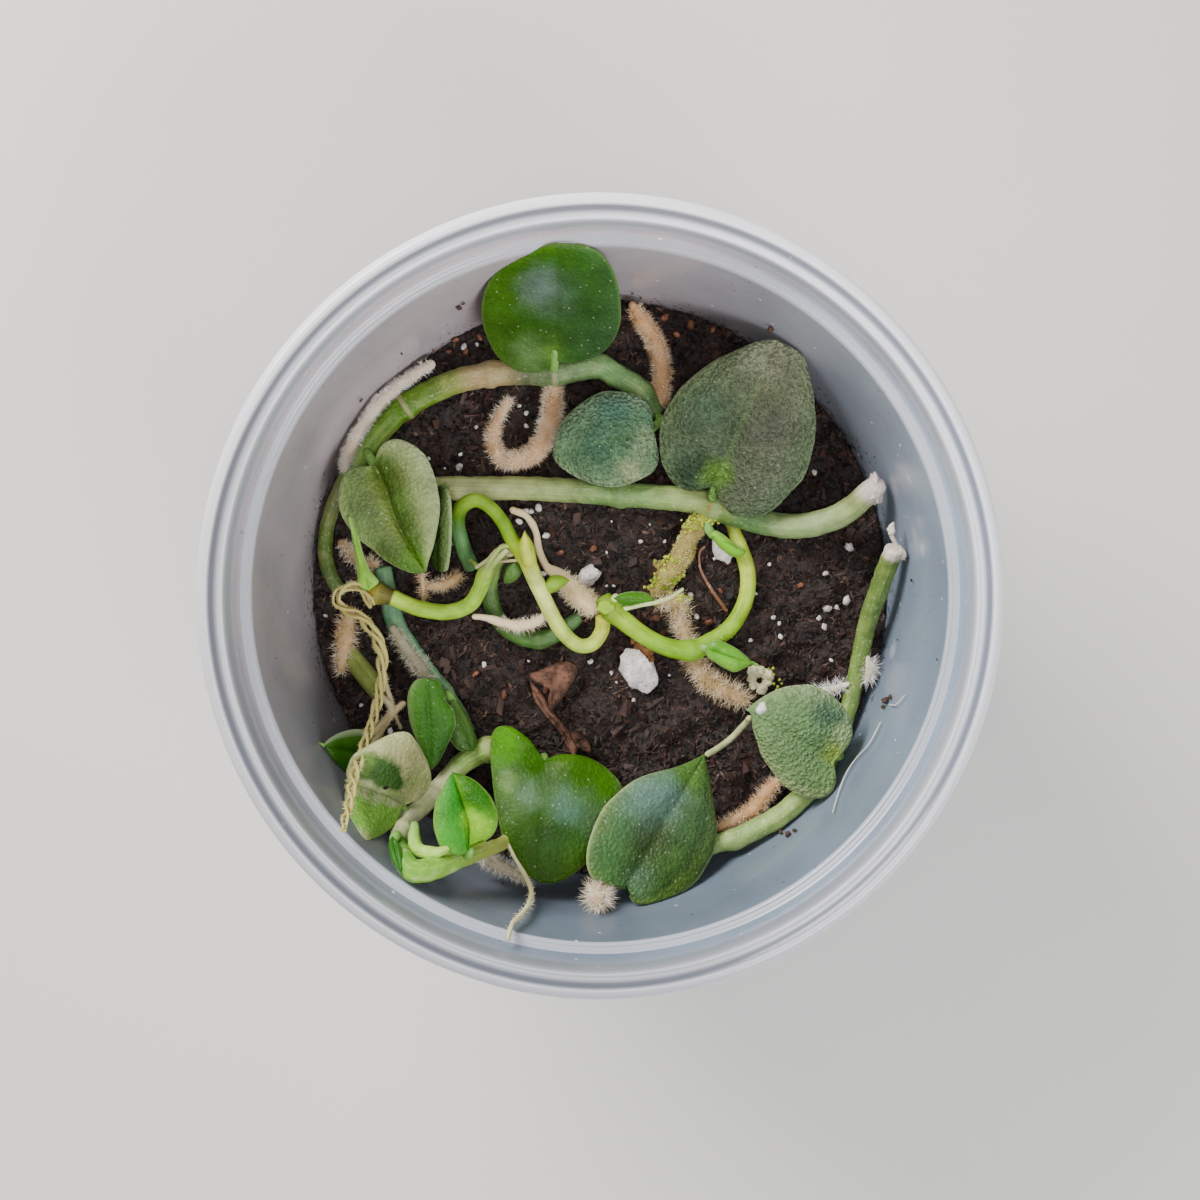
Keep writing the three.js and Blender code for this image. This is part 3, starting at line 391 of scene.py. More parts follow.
def leaf_skin(name, across, along, along_share=0.35, patches=(), rim=0xa9bd85, rib=0x7fae55,
              rib_share=0.2, rim_share=0.5, specks=0.35, pebbles=0.5, gloss=0.4, blotch=0.22,
              specular=0.25):
    """Cuticle over green tissue, with ramps of (place, hex) across and along it.

    Patches, given as u, v, height, radius in mm, hex and share, are the leaf's own tints and also painted
    highlights, reflections and shade."""
    finish, tree, shader, place = start_finish(name)
    growth = add(tree, "ShaderNodeAttribute", attribute_name="growth").node.outputs["Vector"]
    over, down, is_stalk = add(tree, "ShaderNodeSeparateXYZ", [growth]).node.outputs
    half = add(tree, "ShaderNodeMath", [over, 0.5, 0.5], operation='MULTIPLY_ADD')
    size = add(tree, "ShaderNodeMath", [over], operation='ABSOLUTE')
    colour = add(tree, "ShaderNodeValToRGB", [half], stops=across)
    second = add(tree, "ShaderNodeValToRGB", [down], stops=along)
    colour = add(tree, "ShaderNodeMix", {"Factor": along_share, "A": colour, "B": second}, data_type='RGBA')
    wander = add(tree, "ShaderNodeTexNoise", {"Vector": place, "Scale": WANDERS_PER_METRE})
    wander = wander.node.outputs["Color"]
    wander = add(tree, "ShaderNodeVectorMath", [wander, (WANDER, WANDER, 0.0), place],
                 operation='MULTIPLY_ADD')
    seen = add(tree, "ShaderNodeVectorMath", [wander, (1.0, 1.0, 0.0)], operation='MULTIPLY')
    middle = np.array([WANDER / 2, WANDER / 2, 0.0])
    # Patches mix in the leaf's own tints and also painted highlights, reflections and shade
    for u, v, height, radius, code, strength in patches:
        far = add(tree, "ShaderNodeVectorMath", [seen, spot(u, v, height) * (MM, MM, 0) + middle],
                  operation='DISTANCE').node.outputs["Value"]
        near = add(tree, "ShaderNodeMapRange", [far, radius * MM, 0.0, 0.0, strength],
                   interpolation_type='SMOOTHERSTEP')
        colour = add(tree, "ShaderNodeMix", {"Factor": near, "A": colour, "B": linear(code)},
                     data_type='RGBA')
    cloud = add(tree, "ShaderNodeTexNoise", {"Vector": place, "Scale": CLOUDS_PER_METRE, "Detail": 5.0})
    tone = add(tree, "ShaderNodeMapRange", [cloud, 0.3, 0.7, 1 - blotch, 1 + blotch])
    on_rib = add(tree, "ShaderNodeMapRange", [size, 0.07, 0.0, 0.0, rib_share])
    on_rib = add(tree, "ShaderNodeMath", [on_rib, down], operation='MULTIPLY')
    on_rim = add(tree, "ShaderNodeMapRange", [size, 0.95, 0.995, 0.0, rim_share])
    dots = add(tree, "ShaderNodeTexVoronoi", {"Vector": place, "Scale": SPECKS_PER_METRE})
    chance = add(tree, "ShaderNodeSeparateColor", [dots.node.outputs["Color"]])
    chosen = add(tree, "ShaderNodeMath", [chance, 0.72], operation='GREATER_THAN')
    dot = add(tree, "ShaderNodeMapRange", [dots, 0.2, 0.08, 0.0, specks])
    dot = add(tree, "ShaderNodeMath", [dot, chosen], operation='MULTIPLY')
    cell = add(tree, "ShaderNodeTexVoronoi", {"Vector": place, "Scale": PEBBLES_PER_METRE})
    dome = add(tree, "ShaderNodeMapRange", [cell, 0.55, 0.1, 0.0, 1.0], interpolation_type='SMOOTHSTEP')
    grain = add(tree, "ShaderNodeTexNoise", {"Vector": place, "Scale": PEBBLES_PER_METRE, "Detail": 2.0})
    pebble = add(tree, "ShaderNodeMath", [dome, 0.3, grain], operation='MULTIPLY_ADD')
    # Painted light and shade on the pebbles: domes painted lighter, the ground between them painted darker
    shade = add(tree, "ShaderNodeMapRange", [pebble, 0.4, 0.8, 1 - 0.35 * pebbles, 1 + 0.25 * pebbles])
    for blend, share, other in [('MULTIPLY', 1.0, tone), ('MIX', on_rib, linear(rib)),
                                ('MIX', on_rim, linear(rim)), ('MIX', dot, linear(SPECK_TONE)),
                                ('MIX', is_stalk, linear(rib)), ('MULTIPLY', 1.0, shade)]:
        colour = add(tree, "ShaderNodeMix", {"Factor": share, "A": colour, "B": other}, data_type='RGBA',
                     blend_type=blend)
    tree.links.new(colour, shader.inputs["Base Color"])
    bump = add(tree, "ShaderNodeBump", {"Height": pebble, "Distance": PEBBLE_RELIEF, "Strength": pebbles})
    tree.links.new(bump, shader.inputs["Normal"])
    shine = add(tree, "ShaderNodeMapRange", [cloud, 0.3, 0.7, gloss - 0.06, gloss + 0.1])
    tree.links.new(shine, shader.inputs["Roughness"])
    shader.inputs["IOR"].default_value = 1.45
    shader.inputs["Specular IOR Level"].default_value = specular
    return finish


# %% [markdown]
# ## Stem skin
# A young stem's skin is the same waxy cuticle, drawn out in fine lengthwise streaks. Each node has a
# ring scar of dry brown tissue where a leaf's sheath came away.

# %% Stem skin
STEM_CLOUDS = 420.0  # a metre holds this many, so each is 2.4 mm wide
STEM_GRAINS = 2200.0  # flecks and relief 0.5 mm wide
FLECK_TONE = 0xd4dcb8


def stem_skin(name, along, ring=0x7d6a3c, ring_share=0.6, streaks=0.25, blotch=0.25, gloss=0.42,
              scurf=0x9a8a60, scurf_share=0.0, flecks=0.3):
    """Cuticle over a stem, with a ramp of (place, hex) along it, pale flecks and scurfy dry patches."""
    finish, tree, shader, place = start_finish(name)
    growth = add(tree, "ShaderNodeAttribute", attribute_name="growth").node.outputs["Vector"]
    turn, share, near = add(tree, "ShaderNodeSeparateXYZ", [growth]).node.outputs
    colour = add(tree, "ShaderNodeValToRGB", [share], stops=along)
    angle = add(tree, "ShaderNodeMath", [turn, 2 * math.pi], operation='MULTIPLY')
    east = add(tree, "ShaderNodeMath", [angle], operation='COSINE')
    north = add(tree, "ShaderNodeMath", [angle], operation='SINE')
    round_it = add(tree, "ShaderNodeCombineXYZ", [east, north, share])
    streak = add(tree, "ShaderNodeTexNoise", {"Vector": round_it, "Scale": 5.0, "Detail": 10.0,
                                              "Roughness": 0.65})
    cloud = add(tree, "ShaderNodeTexNoise", {"Vector": place, "Scale": STEM_CLOUDS, "Detail": 6.0})
    fleck = add(tree, "ShaderNodeTexNoise", {"Vector": place, "Scale": STEM_GRAINS, "Detail": 3.0})
    streaked = add(tree, "ShaderNodeMapRange", [streak, 0.3, 0.7, 1 - streaks, 1 + streaks])
    clouded = add(tree, "ShaderNodeMapRange", [cloud, 0.3, 0.7, 1 - blotch, 1 + blotch])
    flecked = add(tree, "ShaderNodeMapRange", [fleck, 0.6, 0.68, 0.0, flecks])
    dry = add(tree, "ShaderNodeMapRange", [cloud, 0.55, 0.62, 0.0, scurf_share])
    on_ring = add(tree, "ShaderNodeMapRange", [near, 0.55, 0.95, 0.0, ring_share])
    for blend, part, other in [('MULTIPLY', 1.0, streaked), ('MULTIPLY', 1.0, clouded),
                               ('MIX', flecked, linear(FLECK_TONE)), ('MIX', dry, linear(scurf)),
                               ('MIX', on_ring, linear(ring))]:
        colour = add(tree, "ShaderNodeMix", {"Factor": part, "A": colour, "B": other}, data_type='RGBA',
                     blend_type=blend)
    tree.links.new(colour, shader.inputs["Base Color"])
    fine = add(tree, "ShaderNodeTexNoise", {"Vector": place, "Scale": STEM_GRAINS, "Detail": 4.0})
    relief = add(tree, "ShaderNodeMath", [streak, fine], operation='ADD')
    bump = add(tree, "ShaderNodeBump", {"Height": relief, "Distance": 0.0002, "Strength": 0.5})
    tree.links.new(bump, shader.inputs["Normal"])
    shader.inputs["Roughness"].default_value = gloss
    shader.inputs["IOR"].default_value = 1.45
    shader.inputs["Specular IOR Level"].default_value = 0.35
    return finish


# %% [markdown]
# ## Dry and crumbly finishes
# Root skin, fur, bark, soil and perlite are all rough. One function gives two tones mixed by soft clouds
# with a grain of a real size, because they differ only in colour, grain and roughness.

# %% Rough finishes
def rough_finish(name, dark, light, grain=0.6, rough=0.85, relief=0.25, third=None, third_share=0.0,
                 shreds=0.0):
    """Two tones in clouds, with a third in small patches. grain is the size of the pattern in mm."""
    finish, tree, shader, place = start_finish(name)
    cloud = add(tree, "ShaderNodeTexNoise", {"Vector": place, "Scale": 1000 / grain / 4, "Detail": 8.0,
                                             "Distortion": shreds})
    colour = add(tree, "ShaderNodeValToRGB", [cloud], stops=[(0.36, dark), (0.62, light)])
    patch = add(tree, "ShaderNodeTexNoise", {"Vector": place, "Scale": 1000 / grain, "Detail": 2.0})
    here = add(tree, "ShaderNodeMapRange", [patch, 0.56, 0.64, 0.0, third_share])
    colour = add(tree, "ShaderNodeMix", {"Factor": here, "A": colour, "B": linear(third or light)},
                 data_type='RGBA')
    tree.links.new(colour, shader.inputs["Base Color"])
    bump = add(tree, "ShaderNodeBump", {"Height": patch, "Distance": relief * MM, "Strength": 0.7})
    tree.links.new(bump, shader.inputs["Normal"])
    shader.inputs["Roughness"].default_value = rough
    return finish


# %% [markdown]
# ## The tub
# The real tub is moulded polypropylene: thin, milky and a little translucent, with a rolled rim, a
# groove, an upright collar, a ledge and a sloping wall. Its section is turned round the upright, as the
# mould was. Corners are rounded by a small radius, because a mould has no sharp ones.

# %% Turn the tub's section
TUB_TURNS = 224
CORNER = 0.45
WALL = 1.0
FOOT_INNER = 41.8
LEDGE_RADIUS = 51.9
LEDGE_HEIGHT = 65.0
SOIL_HEIGHT = 34.0


def wall_radius(height):
    return FOOT_INNER + (LEDGE_RADIUS - FOOT_INNER) * height / LEDGE_HEIGHT


def rounded(profile, reach):
    """The profile with each corner turned into a short curve."""
    points = [np.array(p, float) for p in profile]
    curve = [points[0]]
    for before, corner, after in zip(points, points[1:], points[2:]):
        a = corner + (before - corner) * min(0.4, reach / np.linalg.norm(before - corner))
        b = corner + (after - corner) * min(0.4, reach / np.linalg.norm(after - corner))
        curve += [a, 0.25 * a + 0.5 * corner + 0.25 * b, b]
    return curve + [points[-1]]


tub_section = [
    (0, 0.8), (35.2, 0.8), (35.8, 0), (41.5, 0), (wall_radius(1.4) + WALL, 1.4),
    (wall_radius(63.2) + WALL, 63.2), (55, 65.2), (55.4, 71.8), (56.9, 72.2), (57.6, 70.6), (58.4, 70.8),
    (58.5, 73.6), (58.0, 74.6), (56.9, 75), (56, 74.3), (55.4, 73.4), (54.7, 73.9), (54.3, 72.8),
    (54, 69.4), (54, 66.2), (53.5, 65.4), (52.9, 65.2), (52.6, 65), (52.3, 65.15), (51.8, 64.4),
    (wall_radius(50), 50), (wall_radius(SOIL_HEIGHT), SOIL_HEIGHT), (wall_radius(3.4), 3.4),
    (wall_radius(3.4) - 2.6, 1.6), (0, 1.6),
]
section = rounded(tub_section, CORNER)
angles = 2 * np.pi * np.arange(TUB_TURNS) / TUB_TURNS
tub_places = [(r * math.cos(angle), r * math.sin(angle), z) for r, z in section for angle in angles]
tub_faces = [[i * TUB_TURNS + k, i * TUB_TURNS + (k + 1) % TUB_TURNS,
              (i + 1) * TUB_TURNS + (k + 1) % TUB_TURNS, (i + 1) * TUB_TURNS + k]
             for i in range(len(section) - 1) for k in range(TUB_TURNS)]
print("points round the tub's section:", len(section))

# %% [markdown]
# ## Milky polypropylene
# Moulded polypropylene is waxy and scatters light inside its wall, so it reads as a soft grey. Light and
# shade are painted into that grey: it is painted lilac on the north-west side, where the main lamp falls,
# bluish on the other side and darker towards the south as painted shade. The rolled rim carries painted
# highlights with a painted dark band in the groove between its two rolls, the collar is painted brighter
# and the ledge's corner has a thin painted highlight. Dust leaves pale dots, soil leaves dark specks that
# are thickest below its top, and a few pale splashes have dried on the wall. A splash's place is found by
# lowering a pixel's line of sight until it meets the wall.

# %% Tub finish
# Painted highlights on the rim's rolls, with a painted dark band in the groove between them
RIM_PAINTED_HIGHLIGHTS = [(0.0, 0xa4a7b2), (0.22, 0xb4b7c2), (0.3, 0xd8dae2), (0.42, 0xd0d2da), (0.5, 0x747884),
            (0.57, 0x6c707c), (0.64, 0xd6d8e0), (0.8, 0xe4e6ee), (1.0, 0xe4e6ee)]
# Painted light: lilac on the north-west side, where the main lamp falls, bluish on the south-east side
PAINTED_SIDE_LIGHT = [(0.1, 0x7c8a9c), (0.5, 0x9094a0), (0.9, 0xaaa2a6)]
SOIL_TONE = 0x3b3430
DUST_TONE = 0xd9dbe4
# The ledge's painted highlight tone
LEDGE_HIGHLIGHT_TONE = 0xc4c8d2
SPLASHES = [(894, 486, 2.4, 0xc4bcbc), (908, 478, 1.6, 0xbcb8ba), (914, 534, 2.6, 0xc0c0c8),
            (922, 550, 2.0, 0xbcc0c8), (893, 650, 2.2, 0xc8ccd4), (640, 278, 2.4, 0xb0a098),
            (345, 380, 2.0, 0xa89c94)]  # u, v, size in mm and colour
TUB_CLOUDS = 70.0  # a metre holds this many, so each is 14 mm wide
DIRT_GRAINS = 1100.0  # specks of dirt 0.9 mm apart
DUST_CELLS = 330.0  # room for a dot in 3 mm
SPLASH_GRAINS = 260.0  # ragged edges 4 mm long
# Heights and radii in mm between which a tone comes in
SOILED_BELOW = (42, 34)
COLLAR_PAINTED_LIGHT = (64.2, 65.5)
RIM_BEGINS = (68.5, 72)
RIM_ACROSS = (53, 59)


def scaled(sizes):
    """Sizes in metres from sizes in millimetres."""
    return [size * MM for size in sizes]


def on_wall(u, v):
    """The place where the wall is seen at a pixel."""
    heights = np.arange(SOIL_HEIGHT, LEDGE_HEIGHT, 0.1)
    places = np.array([spot(u, v, height) for height in heights])
    short = wall_radius(heights) - np.hypot(places[:, 0], places[:, 1])
    return places[np.argmin(np.abs(short))]


def milky_plastic():
    """Waxy plastic whose tone and painted light follow its side, height and distance from the middle."""
    finish, tree, shader, place = start_finish("milky polypropylene")
    east, north, height = add(tree, "ShaderNodeSeparateXYZ", [place]).node.outputs
    # Painted light: the side that the main lamp falls on is painted lilac, the other side bluish
    slope = add(tree, "ShaderNodeMath", [north, east], operation='SUBTRACT')
    side = add(tree, "ShaderNodeMapRange", [slope, -0.06, 0.06])
    colour = add(tree, "ShaderNodeValToRGB", [side], stops=PAINTED_SIDE_LIGHT)
    cloud = add(tree, "ShaderNodeTexNoise", {"Vector": place, "Scale": TUB_CLOUDS, "Detail": 6.0})
    tone = add(tree, "ShaderNodeMapRange", [cloud, 0.3, 0.7, 0.86, 1.12])
    dirt = add(tree, "ShaderNodeTexNoise", {"Vector": place, "Scale": DIRT_GRAINS, "Detail": 5.0})
    low = add(tree, "ShaderNodeMapRange", [height, *scaled(SOILED_BELOW), 0.0, 0.14])
    soiled = add(tree, "ShaderNodeMath", [dirt, low], operation='ADD')
    soiled = add(tree, "ShaderNodeMapRange", [soiled, 0.66, 0.78, 0.0, 0.75])
    dots = add(tree, "ShaderNodeTexVoronoi", {"Vector": place, "Scale": DUST_CELLS})
    chance = add(tree, "ShaderNodeSeparateColor", [dots.node.outputs["Color"]])
    chosen = add(tree, "ShaderNodeMath", [chance, 0.8], operation='GREATER_THAN')
    dot = add(tree, "ShaderNodeMath", [dots, 0.09], operation='LESS_THAN')
    dot = add(tree, "ShaderNodeMath", [dot, chosen], operation='MULTIPLY')
    # Painted light: the collar above the ledge is made up to 1.3 times brighter
    painted_collar_light = add(tree, "ShaderNodeMapRange", [height, *scaled(COLLAR_PAINTED_LIGHT), 1.0, 1.3])
    flat = add(tree, "ShaderNodeVectorMath", [place, (1.0, 1.0, 0.0)], operation='MULTIPLY')
    radius = add(tree, "ShaderNodeVectorMath", [flat], operation='LENGTH').node.outputs["Value"]
    # The rim's painted highlights and painted dark groove band, set by the distance from the middle
    across = add(tree, "ShaderNodeMapRange", [radius, *scaled(RIM_ACROSS)])
    edge = add(tree, "ShaderNodeValToRGB", [across], stops=RIM_PAINTED_HIGHLIGHTS)
    on_rim = add(tree, "ShaderNodeMapRange", [height, *scaled(RIM_BEGINS), 0.0, 0.85])
    # Painted shade: the wall is darkened towards the south and south-west
    toward = add(tree, "ShaderNodeVectorMath", [place, (8.4, 18.2, 0.0)],
                 operation='DOT_PRODUCT').node.outputs["Value"]
    painted_south_shade = add(tree, "ShaderNodeMapRange", [toward, -1.0, 1.0, 0.66, 1.26])
    # Painted highlight: a thin pale ring at the ledge's corner
    ledge = add(tree, "ShaderNodeMath", [height, LEDGE_HEIGHT * MM, 0.00045], operation='COMPARE')
    ledge = add(tree, "ShaderNodeMath", [ledge, 0.7], operation='MULTIPLY')
    layers = [('MULTIPLY', 1.0, tone), ('MIX', soiled, linear(SOIL_TONE)), ('MIX', dot, linear(DUST_TONE)),
              ('MULTIPLY', 1.0, painted_collar_light), ('MIX', on_rim, edge), ('MULTIPLY', 1.0, painted_south_shade),
              ('MIX', ledge, linear(LEDGE_HIGHLIGHT_TONE))]
    blur = add(tree, "ShaderNodeTexNoise", {"Vector": place, "Scale": SPLASH_GRAINS, "Detail": 5.0})
    for u, v, size, code in SPLASHES:
        far = add(tree, "ShaderNodeVectorMath", [place, on_wall(u, v) * MM],
                  operation='DISTANCE').node.outputs["Value"]
        ragged = add(tree, "ShaderNodeMath", [blur, size * MM, far], operation='MULTIPLY_ADD')
        near = add(tree, "ShaderNodeMapRange", [ragged, 1.3 * size * MM, 0.5 * size * MM, 0.0, 0.6])
        layers.append(('MIX', near, linear(code)))
    for blend, share, other in layers:
        colour = add(tree, "ShaderNodeMix", {"Factor": share, "A": colour, "B": other}, data_type='RGBA',
                     blend_type=blend)
    tree.links.new(colour, shader.inputs["Base Color"])
    bump = add(tree, "ShaderNodeBump", {"Height": cloud, "Distance": 0.0004, "Strength": 0.25})
    tree.links.new(bump, shader.inputs["Normal"])
    shader.inputs["Roughness"].default_value = 0.22
    shader.inputs["IOR"].default_value = 1.49
    shader.inputs["Subsurface Weight"].default_value = 0.25
    shader.inputs["Subsurface Scale"].default_value = 0.002
    return finish


tub = settle("milky_tub", (tub_places, tub_faces), milky_plastic(), ["tub"])
print("tub faces:", len(tub.data.polygons))

# %% [markdown]
# ## Routes of stems and roots
# Each stem and root lies where its CAD solid does, so its route is that solid's own list of
# x, y, z and radius, in millimetres.

# %% Routes of the vines and shoots
vines = {
    "vine_north": [
        (9, 28.5, 36, 1.5), (6.8, 32, 36.4, 1.8), (2.5, 34.6, 36.7, 1.95), (-0.7, 36.1, 36.8, 2.1),
        (-7.4, 35, 36.8, 2.15), (-12.9, 35, 36.7, 2), (-17.7, 34.7, 36.6, 2), (-24.2, 33.2, 36.5, 2),
        (-31.5, 29.6, 36.6, 2), (-34.8, 26.5, 36.6, 1.95), (-37.6, 23, 36.6, 1.8),
        (-40.4, 19, 36.5, 1.5), (-42.6, 15, 36.3, 1.3), (-44.2, 10.5, 36.2, 1.2), (-44.6, 6.3, 36, 1.2),
        (-43.9, 2.5, 35.9, 1.2), (-42, -0.8, 35.7, 1.1)],
    "vine_middle": [
        (-32.3, 15.7, 36.3, 1.8), (-26.5, 16.3, 36.4, 1.9), (-19.3, 16.3, 36.4, 1.95),
        (-9.6, 16.2, 36.4, 1.95), (3.3, 15.4, 36.4, 2), (13, 14.6, 36.8, 2), (18.7, 13.4, 37, 2.3),
        (25.9, 10.9, 37.3, 2), (32.3, 10.2, 38.4, 2), (38.5, 12, 41, 1.95), (42.6, 15.6, 44.6, 1.85),
        (43.7, 16.9, 46, 1.6)],
    "vine_east": [
        (46.3, 6.6, 46, 1.5), (44.8, 0.8, 42, 1.6), (43.2, -5.8, 38, 1.5), (42, -12.3, 36.6, 1.4),
        (40.6, -18.8, 36.6, 1.4), (38.2, -24.8, 38, 1.6), (34.4, -31.1, 41.5, 1.7),
        (29.6, -35.7, 42, 1.75), (25.6, -38.1, 42, 1.7), (21.6, -40, 42, 1.6), (18.4, -40.8, 42, 1.55),
        (12.5, -43.4, 43, 1.5), (4.1, -45.8, 45, 1.5), (1.5, -45.6, 46, 1.1)],
    "vine_south": [
        (-14, -25.4, 37.2, 1.85), (-18.3, -26.1, 37.8, 1.95), (-21.7, -27.8, 38.6, 1.8),
        (-24.4, -30.4, 39.8, 1.65), (-26.6, -32.7, 41.6, 1.55), (-28.8, -34.7, 44.5, 1.5),
        (-30.3, -35.8, 47.5, 1.5), (-30.9, -37, 52, 1.5), (-30.8, -38.2, 58, 1.35),
        (-29.4, -40, 63, 1.6), (-27.8, -41.2, 64.6, 1.75), (-24.6, -41.1, 62, 1.7),
        (-21.9, -40.6, 58, 1.5), (-18.4, -40.1, 53, 1.2), (-14.8, -39.2, 48, 1.05),
        (-11.4, -35, 43.5, 1), (-9.6, -30.5, 40, 1), (-9.4, -27.5, 37.5, 1)],
    "vine_west": [
        (-35.3, 3.3, 35.8, 1.4), (-34.3, -1.5, 35.8, 1.55), (-33.2, -5.9, 35.8, 1.6),
        (-31.2, -9.4, 35.9, 1.65), (-28.2, -13.7, 36, 1.65), (-25.7, -16.9, 36, 1.6),
        (-23.2, -20.4, 36.1, 1.5), (-21.6, -23.4, 36.1, 1.4)],
    "vine_loop": [
        (-15.2, 6.6, 40.4, 1.1), (-17, 3.8, 38.4, 1.35), (-18, 0.7, 36.3, 1.4),
        (-17.6, -2.7, 35.7, 1.4), (-16, -5.7, 35.6, 1.4), (-13.2, -7.7, 35.6, 1.4),
        (-10, -8.3, 35.6, 1.4), (-7, -7.3, 35.7, 1.35), (-4.8, -5.6, 35.7, 1.2), (-3.4, -4.6, 35.7, 0.9)],
    "shoot_west": [
        (-37, -0.2, 39.6, 1.3), (-35.6, -0.6, 39.8, 1.6), (-33.2, -1.3, 40, 1.3), (-29.6, -2.9, 39, 1.3),
        (-25.1, -3.7, 38, 1.3), (-21.3, -2.6, 38.6, 1.3), (-19.4, 0, 40, 1.25), (-18.4, 2.5, 41.4, 1.15),
        (-16.9, 4.6, 42.1, 0.7), (-14.8, 6.6, 42.4, 0.5)],
    "shoot_arch": [
        (-20.9, 3.6, 35.8, 1.3), (-22.1, 6.7, 37.8, 1.3), (-22.9, 10.6, 40, 1.25),
        (-22.2, 13.2, 41.8, 1.2), (-19.8, 14.4, 42.8, 1.15), (-17.4, 13.2, 43, 1.1),
        (-15.4, 10.8, 43, 1.1), (-13.8, 7.7, 42.8, 1.15), (-12, 5.8, 42.4, 1.45),
        (-11.2, 3.7, 41.8, 1.35), (-9.8, 0.4, 40.8, 1.3), (-8, -3.5, 39.6, 1.25),
        (-6.1, -6.8, 38.6, 1.25), (-3.6, -9.1, 37.2, 1.2), (-1.2, -8.9, 36.6, 1.2), (0.3, -6.7, 37, 1.2),
        (0.5, -4.6, 37.8, 1.2)],
    "shoot_east": [
        (0.5, -1.4, 39.6, 1.4), (2, -3.4, 39.9, 1.65), (6.6, -7.1, 39.2, 1.45), (10.8, -9.3, 38.4, 1.5),
        (14.8, -9.9, 37.6, 1.6), (17.2, -8.9, 37.2, 1.45), (21, -6.4, 36.6, 1.35), (23.4, -2.6, 36, 1.3),
        (24.1, 1.6, 35.8, 1.3), (23.2, 5.8, 35.6, 1.25), (20.6, 12.4, 34.6, 0.9)],
}
print("vines and shoots:", len(vines))

